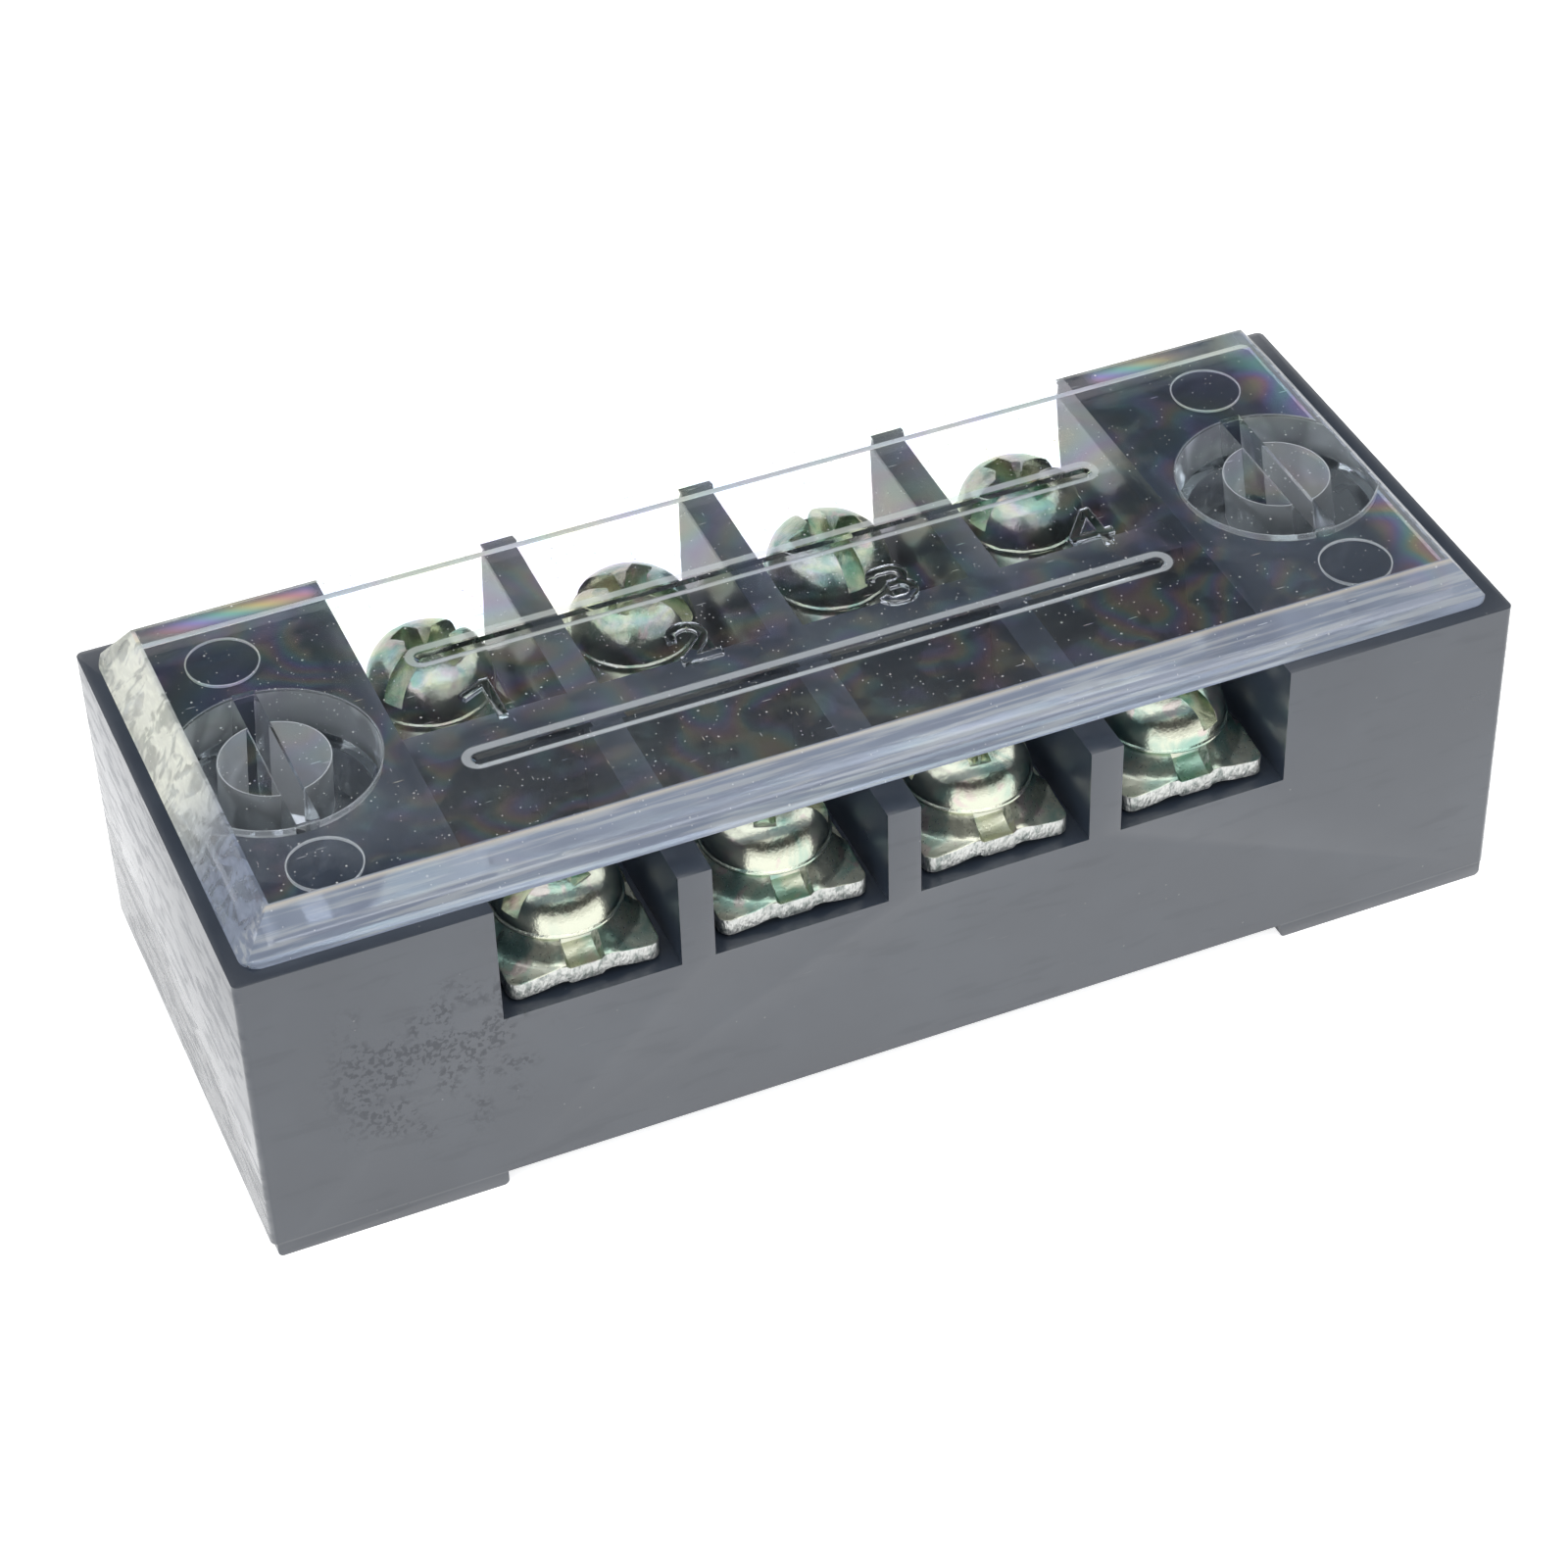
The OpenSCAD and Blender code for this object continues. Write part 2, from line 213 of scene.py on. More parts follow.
class Graph:
    """The nodes of one material or world."""

    def __init__(self, tree: bpy.types.NodeTree) -> None:
        """Empty a node tree and keep it."""
        self.tree = tree
        self.ways: dict[tuple[Colour, Colour], Socket] = {}
        tree.nodes.clear()

    def node(
        self, kind: str, settings: dict[str, Any] | None = None, inputs: dict[str | int, Any] | None = None
    ) -> bpy.types.Node:
        """Add one node.

        Args:
            kind: The node's type.
            settings: Its properties, set first, with "stops" for a ramp's places and colours.
            inputs: The values or links of its sockets, by name or number.

        Returns:
            The node.
        """
        node = self.tree.nodes.new(kind)
        for name, value in (settings or {}).items():
            if name == "stops":
                self.set_stops(node.color_ramp, value)
            else:
                setattr(node, name, value)
        for name, value in (inputs or {}).items():
            socket = node.inputs[name]
            if isinstance(value, Value):
                self.tree.links.new(value.socket, socket)
            elif isinstance(value, Socket):
                self.tree.links.new(value, socket)
            elif isinstance(value, tuple) and socket.type == "RGBA":
                socket.default_value = (*value, 1)
            else:
                socket.default_value = value
        return node

    @staticmethod
    def set_stops(ramp: bpy.types.ColorRamp, stops: Stops) -> None:
        """Give a new ramp its stops.

        Args:
            ramp: The ramp, with its two first stops.
            stops: Places between 0 and 1 with their colours.
        """
        while len(ramp.elements) < len(stops):
            ramp.elements.new(1)
        for element, (position, colour) in zip(ramp.elements, stops):
            element.position = position
            element.color = (*colour, 1)

    def object_mm(self, stretch: Colour = EVEN, turn_deg: Colour = ORIGIN) -> Socket:
        """Return the object's own coordinates in millimetres, made once for each way they lie.

        Args:
            stretch: Factors along each axis, so that a pattern becomes longer where they are small.
            turn_deg: Turn of the coordinates about each axis.

        Returns:
            The socket of the coordinates.
        """
        way = (stretch, turn_deg)
        if way not in self.ways:
            inputs = {
                "Vector": self.node("ShaderNodeTexCoord").outputs["Object"],
                "Rotation": tuple(math.radians(a) for a in turn_deg),
                "Scale": tuple(s / MM for s in stretch),
            }
            self.ways[way] = self.node("ShaderNodeMapping", {"vector_type": "POINT"}, inputs).outputs["Vector"]
        return self.ways[way]

    def axes(self, vector: Socket) -> tuple[Value, Value, Value]:
        """Split a vector into its three numbers."""
        node = self.node("ShaderNodeSeparateXYZ", None, {"Vector": vector})
        return tuple(Value(self, s) for s in node.outputs)

    def noise(self, kind: Noise) -> Value:
        """Add a Noise Texture.

        Args:
            kind: Its pattern.

        Returns:
            Its number, about 0.5 on average.
        """
        vector = self.object_mm(kind.stretch, kind.turn_deg)
        inputs = {"Vector": vector, "Scale": kind.scale, "Detail": kind.detail, "Distortion": kind.distortion}
        return Value(self, self.node("ShaderNodeTexNoise", None, inputs).outputs["Fac"])

    def mask(self, kind: Noise) -> Value:
        """Return a Noise Texture as a mask that runs over its span."""
        return self.noise(kind).between(*kind.span)

    def specks(self, kind: Specks) -> Value:
        """Scatter small marks, which a stretch makes into scratches.

        Args:
            kind: Their pattern.

        Returns:
            A mask that is 1 on the marks.
        """
        vector = self.object_mm(kind.stretch, kind.turn_deg)
        cells = self.node("ShaderNodeTexVoronoi", None, {"Vector": vector, "Scale": kind.scale})
        chance = self.axes(cells.outputs["Color"])[0]
        mark = Value(self, cells.outputs["Distance"]).between(kind.radius, kind.radius / 2)
        return mark * chance.math("LESS_THAN", kind.share)

    def mix(self, factor: Value | float, first: Any, second: Any) -> Socket:
        """Mix two colours or sockets of colours, with factor as the share of the second."""
        return self.node("ShaderNodeMix", {"data_type": "RGBA"}, {0: factor, 6: first, 7: second}).outputs[2]

    def bump(self, height: Value, relief: Relief) -> Socket:
        """Turn a height between 0 and 1 into a normal, with as much relief as is given."""
        inputs = {"Height": height, "Strength": relief.strength, "Distance": relief.distance_mm * MM}
        return self.node("ShaderNodeBump", None, inputs).outputs["Normal"]

    def principled(self, inputs: dict[str, Any]) -> Socket:
        """Add a Principled BSDF with these inputs and return its shader."""
        return self.node("ShaderNodeBsdfPrincipled", None, inputs).outputs[0]

    def mixed_shader(self, factor: Value | Socket, first: Any, second: Any) -> Socket:
        """Mix two shaders, with factor as the share of the second."""
        return self.node("ShaderNodeMixShader", None, {0: factor, 1: first, 2: second}).outputs[0]

    def surface(self, shader: Socket, world: bool = False) -> bpy.types.Node:
        """Join a shader to a new output node and return the node."""
        kind = "ShaderNodeOutputWorld" if world else "ShaderNodeOutputMaterial"
        return self.node(kind, None, {"Surface": shader})


class Spot:
    """The place on a surface that a material is worked out for, in millimetres."""

    def __init__(self, graph: Graph) -> None:
        """Split the piece's own coordinates into x along the row, y to the back and z up."""
        self.graph = graph
        self.x, self.y, self.z = graph.axes(graph.object_mm())

    def inside(self, region: Region) -> Value:
        """Mask a region of the piece, which has one span or more."""
        edges = [axis.between(*span) for axis, spans in zip((self.x, self.y, self.z), region) for span in spans]
        return math.prod(edges[1:], start=edges[0])


def new_material(name: str) -> tuple[Material, Graph]:
    """Make an empty material.

    Args:
        name: The material's name.

    Returns:
        The material and its graph.
    """
    material = bpy.data.materials.new(name)
    material.use_nodes = True
    return material, Graph(material.node_tree)


# Finishes


@dataclass(frozen=True)
class Finish:
    """A finish that one Principled BSDF makes."""

    name: str

    def material(self) -> Material:
        """Build the material.

        Returns:
            The material.
        """
        material, graph = new_material(self.name)
        graph.surface(graph.principled(self.inputs(Spot(graph))))
        return material

    def inputs(self, at: Spot) -> dict[str, Any]:
        """Return the shader's inputs at a spot, by name."""
        raise NotImplementedError


@dataclass(frozen=True)
class BasePlastic(Finish):
    """Dark blue-grey moulded plastic, satin, with handling smudges and fine scratches."""

    name: str = "base_plastic"
    dark: Colour = (0.026, 0.036, 0.055)
    pale: Colour = (0.035, 0.047, 0.068)
    dust: Colour = (0.20, 0.21, 0.22)
    rubbed: Colour = (0.014, 0.019, 0.030)
    roughness: float = 0.30
    coat: float = 1.0
    inner_coat: float = 0.15
    coat_roughness: float = 0.12
    specular: float = 0.9
    relief: Relief = Relief(0.25, 0.02)
    outer_y: Span = (10.75, 10.9)
    outer_x: Span = (27.25, 27.4)
    pocket: Region = Region(y=((0.8, 1.2),), z=((13.5, 13.3),))
    seam_z: Peak = (0.7, 0.07)
    seam_x: Span = (17.45, 17.55)
    seam_share: float = 0.3
    clouds: Noise = Noise(0.22, 3, span=(0.35, 0.7))
    clouded: Effect = Effect(rough=0.12, height=0.4)
    grain: Noise = Noise(5)
    grained: Effect = Effect(height=0.35)
    smudge_x: Peak = (-19.8, 6.8)
    smudge_z: Peak = (8.2, 6.8)
    smudge_y: Span = (-10.5, -10.9)
    smudge_edge: Span = (0.05, 0.5)
    smudged: Effect = Effect(colour=0.75, rough=0.22, coat=0.5)
    mottle: Noise = Noise(4.6, 6, 0.4, span=(0.50, 0.56))
    mottle_areas: Noise = Noise(0.5, span=(0.40, 0.54))
    wiped: Noise = Noise(1.4, 3, 0, (0.25, 1, 1.6), (0, 30, 0), (0.58, 0.66))
    wiped_share: float = 0.25
    end_x: Span = (27.2, 27.45)
    flow: Noise = Noise(1.5, 3, 0.8, (1, 0.3, 1.4), (-38, 0, 0), (0.48, 0.60))
    blotch: Noise = Noise(0.35, 3, span=(0.55, 0.75))
    blotch_share: float = 0.6
    scuffed: Effect = Effect(rough=0.12, coat=0.35)
    scratch_marks: Specks = Specks(0.9, 0.09, 0.10, (0.35, 1, 6), (0, 12, 20))
    scratched: Effect = Effect(colour=0.5, rough=0.15)
    dust_marks: Specks = Specks(1.6, 0.09, 0.10)
    dust_share: float = 0.5

    def inputs(self, at: Spot) -> dict[str, Any]:
        """Work out the shader's inputs.

        Args:
            at: The spot.

        Returns:
            The inputs by name.
        """
        graph = at.graph
        clouds, grain = graph.noise(self.clouds), graph.noise(self.grain)
        smudge, end_marks = self.smudge(at), self.end_marks(at)
        scratches, dust = graph.specks(self.scratch_marks), graph.specks(self.dust_marks)
        seam = at.z.near(*self.seam_z) * at.x.size().between(*self.seam_x)
        colour = graph.mix(clouds.between(*self.clouds.span), self.dark, self.pale)
        colour = graph.mix(smudge * self.smudged.colour, colour, self.rubbed)
        colour = graph.mix(seam * self.seam_share, colour, self.dust)
        rough = (
            self.roughness
            + (clouds - NOISE_MEAN) * self.clouded.rough
            + smudge * self.smudged.rough
            + end_marks * self.scuffed.rough
            + scratches * self.scratched.rough
        )
        settled = dust.most(scratches * self.scratched.colour) * self.dust_share
        kept_coat = 1 - smudge * self.smudged.coat - end_marks * self.scuffed.coat
        return {
            "Base Color": graph.mix(settled, colour, self.dust),
            "Roughness": rough,
            "Specular IOR Level": self.specular,
            "Coat Weight": self.gloss(at) * kept_coat,
            "Coat Roughness": self.coat_roughness,
            "Normal": graph.bump(grain * self.grained.height + clouds * self.clouded.height, self.relief),
        }

    def gloss(self, at: Spot) -> Value:
        """Return the weight of the glossy coat, which is highest on the outer faces and in the rear pockets."""
        outer = at.y.size().between(*self.outer_y).most(at.x.size().between(*self.outer_x))
        return outer.most(at.inside(self.pocket)) * (self.coat - self.inner_coat) + self.inner_coat

    def smudge(self, at: Spot) -> Value:
        """Mask the mottled rub marks near one end of the front face.

        Args:
            at: The spot.

        Returns:
            The mask.
        """
        patch = (at.x.near(*self.smudge_x) * at.z.near(*self.smudge_z)).between(*self.smudge_edge)
        mottled = at.graph.mask(self.mottle) * at.graph.mask(self.mottle_areas)
        wiped = at.graph.mask(self.wiped) * self.wiped_share
        return (patch * mottled).most(wiped) * at.y.between(*self.smudge_y)

    def end_marks(self, at: Spot) -> Value:
        """Mask the flow lines and scuffs of the end faces."""
        blotch = at.graph.mask(self.blotch) * self.blotch_share
        return at.graph.mask(self.flow).most(blotch) * at.x.size().between(*self.end_x)


class PaintedGlowShares(NamedTuple):
    """Shares of the pale layer painted over the clear plastic in each of its parts: painted glow, painted
    highlights and painted reflections, and real dust and scratches.
    """

    most: float = 0.95
    marks: float = 0.6
    bevel: float = 0.56
    bevel_streaks: float = 0.14
    bright_end: float = 0.25
    rear_edge: float = 0.40
    smooth_part: float = 0.45
    tan_edge_highlight: float = 0.2
    rainbow: float = 0.6
    ledge: float = 0.85
    ceiling: float = 0.045
    side: float = 0.25
    rib_slope: float = 0.48
    pin_ring: float = 0.6
    sleeve_rims: float = 0.5
    outer_rim: float = 0.5
    sleeve_wall: float = 0.95
    sleeve_foot: float = 0.25
    sleeve_even: float = 0.2


@dataclass(frozen=True)
class ClearPlastic:
    """Clear moulded plastic with a faint blue cast, dust and scratches, and painted glow, highlights, reflections
    and strain sheen.
    """

    tint: Colour = (0.87, 0.88, 0.91)
    absorbed: Colour = (0.10, 0.30, 0.44)
    absorption: float = 38.0
    painted_glow_colour: Colour = (0.30, 0.35, 0.47)
    painted_streak_colour: Colour = (0.46, 0.50, 0.56)
    painted_highlight_white: Colour = (0.95, 0.97, 0.97)
    painted_reflection_cream: Colour = (0.95, 0.97, 0.86)
    side: Colour = (0.72, 0.75, 0.78)
    tan: Colour = (0.58, 0.55, 0.50)
    dust: Colour = (0.85, 0.86, 0.84)
    ior: float = 1.5
    roughness: float = 0.02
    bevel_rough: float = 0.14
    painted_glow_roughness: float = 0.5
    film: PaintedGlowShares = PaintedGlowShares()
    relief: Relief = Relief(0.15, 0.05)
    top_l: float = 25.4
    top_w: float = 9.15
    top_z: float = 16.57
    ceiling_z: float = 14.96
    ceiling_reach: float = 0.05
    ceiling_fade: float = 0.1
    end_slope: float = 0.784
    side_slope: float = 0.649
    bevel_edge: Span = (-0.16, -0.12)
    front: Region = Region(y=((-8.6, -9.2),))
    rear: Region = Region(y=((-1, 5),))
    # Painted light: a painted reflection along the rear edge, painted glow on the end bevels, and a stronger
    # painted reflection on the first end's bevel.
    rear_edge: Region = Region(y=((8.8, 9.1),))
    end: Region = Region(x=((25.2, 25.5),))
    bright_end: Region = Region(x=((-24.9, -25.6),), y=((-6, 1),))
    # A painted highlight in tan along the top front edge.
    tan_reach: float = 0.12
    tan_z: Region = Region(z=((16.27, 16.47),))
    # A painted highlight along the step at the rear of the ceiling.
    ledge: Region = Region(y=((8.74, 8.80), (9.1, 9.07)))
    ceiling_y: Region = Region(y=((8.70, 8.65),))
    # The pale layer makes the plastic paler just under the ceiling near each end.
    paler_end_region: Region = Region(x=((23.6, 25.6),), z=((15.0, 14.97), (14.6, 14.7)))
    rainbow_ends: Region = Region(x=((-27, -22.5), (24, 19.5)), z=((16.52, 16.55),))
    rainbow_x: Span = (17.2, 18.2)
    rainbow_y: Peak = (8.5, 0.95)
    pin: tuple[float, float, float] = (22.3, 6.65, 1.5)
    rib: tuple[float, float] = (14.85, 3.43)
    rib_shift: float = 0.15
    rib_slope: tuple[Span, Span] = ((0.26, 0.38), (0.74, 0.64))
    line_reach: float = 0.06
    line_edge: Span = (0, 0.05)
    sleeve_x: float = 22.2
    sleeve_radii: tuple[float, float] = (4.28, 2.25)
    sleeve_wall: tuple[Span, Span] = ((4.3, 4.26), (4.2, 4.24))
    sleeve_lit: Region = Region(z=((10.8, 12.8),))
    sleeve_foot: Region = Region(z=((10.72, 10.68),))
    sleeve_below: Region = Region(z=((14.8, 14.7),))
    sleeve_outside: Span = (4.4, 4.3)
    sleeve_patch: Noise = Noise(0.34, 2, 0.4, (1, 1, 0.3), span=(0.44, 0.62))
    dust_marks: tuple[Specks, Specks] = (Specks(1.5, 0.10, 0.35), Specks(3.6, 0.15, 0.30))
    scratch_marks: tuple[Specks, Specks] = (
        Specks(1.3, 0.09, 0.30, (0.22, 2.4, 2.4), (0, 0, 17)),
        Specks(1.5, 0.09, 0.20, (2.6, 0.3, 2.6), (0, 0, -24)),
    )
    scratched: Effect = Effect(colour=0.7, rough=0.2)
    bevel_wear: float = 0.6
    clouds: Noise = Noise(0.5, span=(0.42, 0.60))
    clouded: Effect = Effect(height=0.6)
    streaks: Noise = Noise(1.6, 3, 0, (0.12, 1, 3.2), span=(0.45, 0.62))
    streak_light: Span = (0.40, 0.68)
    crackle: Noise = Noise(0.8, 2, 1.5, span=(0.40, 0.56))
    strain: Noise = Noise(0.13)
    strain_turns: float = 5
    strain_y: float = 0.11
    ceiling_turns: float = 2
    rainbow_turns: tuple[float, float] = (0.17, 0.4)
    # Strain colours painted as iridescent sheen: the pale ones tint the glass at the rear, the strong ones glow in
    # the rainbow streaks and faintly on the ceiling.
    strain_sheen_tint: Stops = (
        (0.0, (0.88, 0.88, 0.90)),
        (0.2, (0.84, 0.76, 0.93)),
        (0.4, (0.78, 0.86, 0.97)),
        (0.6, (0.80, 0.93, 0.82)),
        (0.8, (0.95, 0.90, 0.76)),
        (1.0, (0.88, 0.88, 0.90)),
    )
    strain_glint_colours: Stops = (
        (0.0, (0.95, 0.80, 0.35)),
        (0.25, (0.85, 0.40, 0.45)),
        (0.5, (0.45, 0.40, 0.90)),
        (0.75, (0.30, 0.75, 0.65)),
        (1.0, (0.95, 0.80, 0.35)),
    )

    def material(self) -> Material:
        """Build the material: clear glass under a pale layer of painted glow, highlights, reflections and strain
        sheen and of real dust and scratches, over a bluish inside.

        Returns:
            The material.
        """
        material, graph = new_material("clear_plastic")
        at, film = Spot(graph), self.film
        dust = graph.specks(self.dust_marks[0]).most(graph.specks(self.dust_marks[1]))
        scratches = graph.specks(self.scratch_marks[0]).most(graph.specks(self.scratch_marks[1]))
        clouds, streaks = graph.noise(self.clouds), graph.noise(self.streaks)
        phase = graph.noise(self.strain) * self.strain_turns + at.y * self.strain_y
        bevels, lines, rainbow = self.bevels(at), self.moulded_lines(at), self.rainbow(at)
        inner = 1 - bevels
        front, bright_end, rear_edge = (at.inside(r) for r in (self.front, self.bright_end, self.rear_edge))
        tan_edge_highlight = at.y.near(-self.top_w, self.tan_reach) * at.inside(self.tan_z)
        ceiling = at.z.near(self.ceiling_z, self.ceiling_reach) * inner
        ceiling_sheen = ceiling * (1 - lines.between(*self.line_edge)) * at.inside(self.ceiling_y)
        marks = dust.most(scratches * self.scratched.colour) * (1 - bevels * self.bevel_wear)
        # The glass at the rear takes a painted strain sheen as its tint.
        glass = graph.principled(
            {
                "Base Color": graph.mix(at.inside(self.rear), self.tint, self.stress(phase, self.strain_sheen_tint)),
                "Roughness": self.roughness + scratches * self.scratched.rough + bevels * self.bevel_rough,
                "IOR": self.ior,
                "Transmission Weight": 1.0,
                "Normal": graph.bump(clouds * self.clouded.height + streaks * bevels, self.relief),
            }
        )
        along, aside = self.rainbow_turns
        # Colour of the pale painted layer, part by part: painted glow and streaks on the bevels, painted
        # reflections, painted highlights, painted strain sheen, then real dust and scratches.
        layers = [
            # Painted streaks of glow on the front bevel.
            (streaks.between(*self.streaks.span) * front, self.painted_streak_colour),
            # Painted glow on the end bevels, away from the front.
            (at.inside(self.end) * (1 - front), self.side),
            # Painted reflection on the first end's bevel and along the rear edge.
            (bright_end.most(rear_edge), self.painted_reflection_cream),
            # Painted highlight along the top front edge.
            (tan_edge_highlight, self.tan),
            # Painted iridescent glint of the rainbow streaks.
            (rainbow, self.stress(at.x * along + at.y * aside, self.strain_glint_colours)),
            # Painted highlights under the ceiling, in near-white.
            (self.under_ceiling(at) * inner, self.painted_highlight_white),
            # Faint painted strain sheen on the ceiling.
            (ceiling_sheen, self.stress(phase * self.ceiling_turns, self.strain_glint_colours)),
            (marks, self.dust),
        ]
        colour = self.painted_glow_colour
        for share, layer in layers:
            colour = graph.mix(share, colour, layer)
        painted_glow_shader = graph.principled({"Base Color": colour, "Roughness": self.painted_glow_roughness})
        # Painted glow on the bevels, standing for light that the plastic carries along and lets out: more in
        # streaks and at one end, less along the rear edge, broken up by a crackle pattern away from the front.
        even = (
            film.bevel
            + streaks.between(*self.streak_light) * film.bevel_streaks
            + bright_end * film.bright_end
            - rear_edge * film.rear_edge
        )
        smooth_part = (1 - graph.mask(self.crackle)) * (1 - front)
        # How much of the painted layer covers the glass: real dust and scratches, and painted glow, highlights,
        # reflections and sheen elsewhere.
        veil = (
            marks * film.marks
            + bevels * even * (1 - smooth_part * film.smooth_part)
            + tan_edge_highlight * film.tan_edge_highlight
            + rainbow * film.rainbow
            + at.inside(self.ledge) * ceiling * film.ledge
            + ceiling_sheen * clouds.between(*self.clouds.span) * film.ceiling
            + at.inside(self.paler_end_region) * film.side
            + lines
            + self.sleeve_patches(at)
        )
        dressed = graph.mixed_shader(veil.math("MINIMUM", film.most), glass, painted_glow_shader)
        clear = graph.node("ShaderNodeBsdfTransparent").outputs[0]
        shadow = graph.node("ShaderNodeLightPath").outputs["Is Shadow Ray"]
        output = graph.surface(graph.mixed_shader(shadow, dressed, clear))
        depth = {"Color": self.absorbed, "Density": self.absorption}
        inside = graph.node("ShaderNodeVolumeAbsorption", None, depth).outputs[0]
        graph.tree.links.new(inside, output.inputs["Volume"])
        return material

    def stress(self, phase: Value, stops: Stops) -> Socket:
        """Colour the plastic by a strain phase, as a painted iridescent sheen whose phase runs through the stops
        once for each whole number.
        """
        return phase.graph.node("ShaderNodeValToRGB", {"stops": stops}, {0: phase.math("FRACT")}).outputs[0]

    def under_ceiling(self, at: Spot) -> Value:
        """Mask what lies at or under the ceiling."""
        return at.z.between(self.ceiling_z + self.ceiling_fade, self.ceiling_z)

    def from_sleeve(self, at: Spot) -> Value:
        """Return the distance from the nearer sleeve's axis."""
        return (at.x.size() - self.sleeve_x).across(at.y)

    def moulded_lines(self, at: Spot) -> Value:
        """Mask the painted highlights on the slopes of the ribs, the rings of the moulding pins and the rims of
        the sleeves.

        Args:
            at: The spot.

        Returns:
            The share of them that scatters light.
        """
        rib_x, rib_y = self.rib
        pin_x, pin_y, pin_radius = self.pin
        outer, bore = self.sleeve_radii
        rise, fall = self.rib_slope
        across, aside = at.x.size(), at.y.size()
        reach = (across - rib_x).most(0.0).across((at.y - self.rib_shift).size() - rib_y)
        slope = reach.between(*rise) * reach.between(*fall)
        ring = (across - pin_x).across(aside - pin_y).near(pin_radius, self.line_reach)
        radius = self.from_sleeve(at)
        rims = radius.near(outer, self.line_reach) * self.film.outer_rim + radius.near(bore, self.line_reach)
        lines = (slope * self.film.rib_slope).most(ring * self.film.pin_ring).most(rims * self.film.sleeve_rims)
        return self.under_ceiling(at) * lines

    def rainbow(self, at: Spot) -> Value:
        """Mask the two rainbow streaks near the rear corners: strained plastic, painted as a bright iridescent
        glint.
        """
        return at.x.size().between(*self.rainbow_x) * at.inside(self.rainbow_ends) * at.y.near(*self.rainbow_y)

    def sleeve_patches(self, at: Spot) -> Value:
        """Mask the painted highlights on the walls of the split sleeves.

        Args:
            at: The spot.

        Returns:
            The share of painted highlight there.
        """
        radius = self.from_sleeve(at)
        outside, inside = self.sleeve_wall
        wall = radius.between(*outside) * radius.between(*inside) * at.inside(self.sleeve_lit)
        sleeve_highlight = (wall * self.film.sleeve_wall).most(at.inside(self.sleeve_foot) * self.film.sleeve_foot)
        even = self.film.sleeve_even
        patches = at.graph.mask(self.sleeve_patch) * (1 - even) + even
        return radius.between(*self.sleeve_outside) * at.inside(self.sleeve_below) * sleeve_highlight * patches

    def bevels(self, at: Spot) -> Value:
        """Mask the four sloping edge faces of the cover.

        Args:
            at: The spot.

        Returns:
            The mask.
        """
        down = self.top_z - at.z
        front = at.y.size() - down * self.side_slope - self.top_w
        end = at.x.size() - down * self.end_slope - self.top_l
        return front.most(end).between(*self.bevel_edge)


@dataclass(frozen=True)
class ZincPlate(Finish):
    """Pale yellow-green zinc plate with a thin iridescent film."""

    pale: Colour = (0.74, 0.76, 0.62)
    green: Colour = (0.36, 0.55, 0.46)
    pink: Colour = (0.70, 0.58, 0.55)
    pink_share: float = 0.7
    roughness: float = 0.22
    film: Noise = Noise(0.55, 3, 0.5, span=(0.44, 0.66))
    patches: Noise = Noise(0.9, 2, 0.3, span=(0.58, 0.68))
    grain: Noise = Noise(9)
    grained: Effect = Effect(rough=0.16, height=0.2)
    relief: Relief = Relief(0.8, 0.05)

    def inputs(self, at: Spot) -> dict[str, Any]:
        """Work out the shader's inputs.

        Args:
            at: The spot.

        Returns:
            The inputs by name.
        """
        graph = at.graph
        film, patches, grain = (graph.noise(kind) for kind in (self.film, self.patches, self.grain))
        colour = graph.mix(film.between(*self.film.span), self.pale, self.green)
        pink = patches.between(*self.patches.span) * self.pink_share
        return {
            "Base Color": graph.mix(pink, colour, self.pink),
            "Metallic": 1.0,
            "Roughness": self.roughness + (grain - NOISE_MEAN) * self.grained.rough,
            "Normal": graph.bump(grain * self.grained.height + film + patches, self.relief),
        }


@dataclass(frozen=True)
class ShearedEdge(Finish):
    """Bright torn metal where the washers were sheared from the strip."""

    name: str = "sheared_edge"
    bright: Colour = (0.80, 0.81, 0.78)
    dull: Colour = (0.36, 0.40, 0.38)
    roughness: float = 0.34
    tear: Noise = Noise(9, 4, 0, (1, 1, 0.5))
    torn: Effect = Effect(rough=0.2)
    blotch: Noise = Noise(4, 3, 0, (1, 1, 0.6), span=(0.45, 0.7))
    blotched: Effect = Effect(height=0.6)
    relief: Relief = Relief(0.8, 0.09)

    def inputs(self, at: Spot) -> dict[str, Any]:
        """Work out the shader's inputs.

        Args:
            at: The spot.

        Returns:
            The inputs by name.
        """
        tear, blotch = at.graph.noise(self.tear), at.graph.noise(self.blotch)
        return {
            "Base Color": at.graph.mix(blotch.between(*self.blotch.span), self.bright, self.dull),
            "Metallic": 1.0,
            "Roughness": self.roughness + tear * self.torn.rough,
            "Normal": at.graph.bump(tear + blotch * self.blotched.height, self.relief),
        }


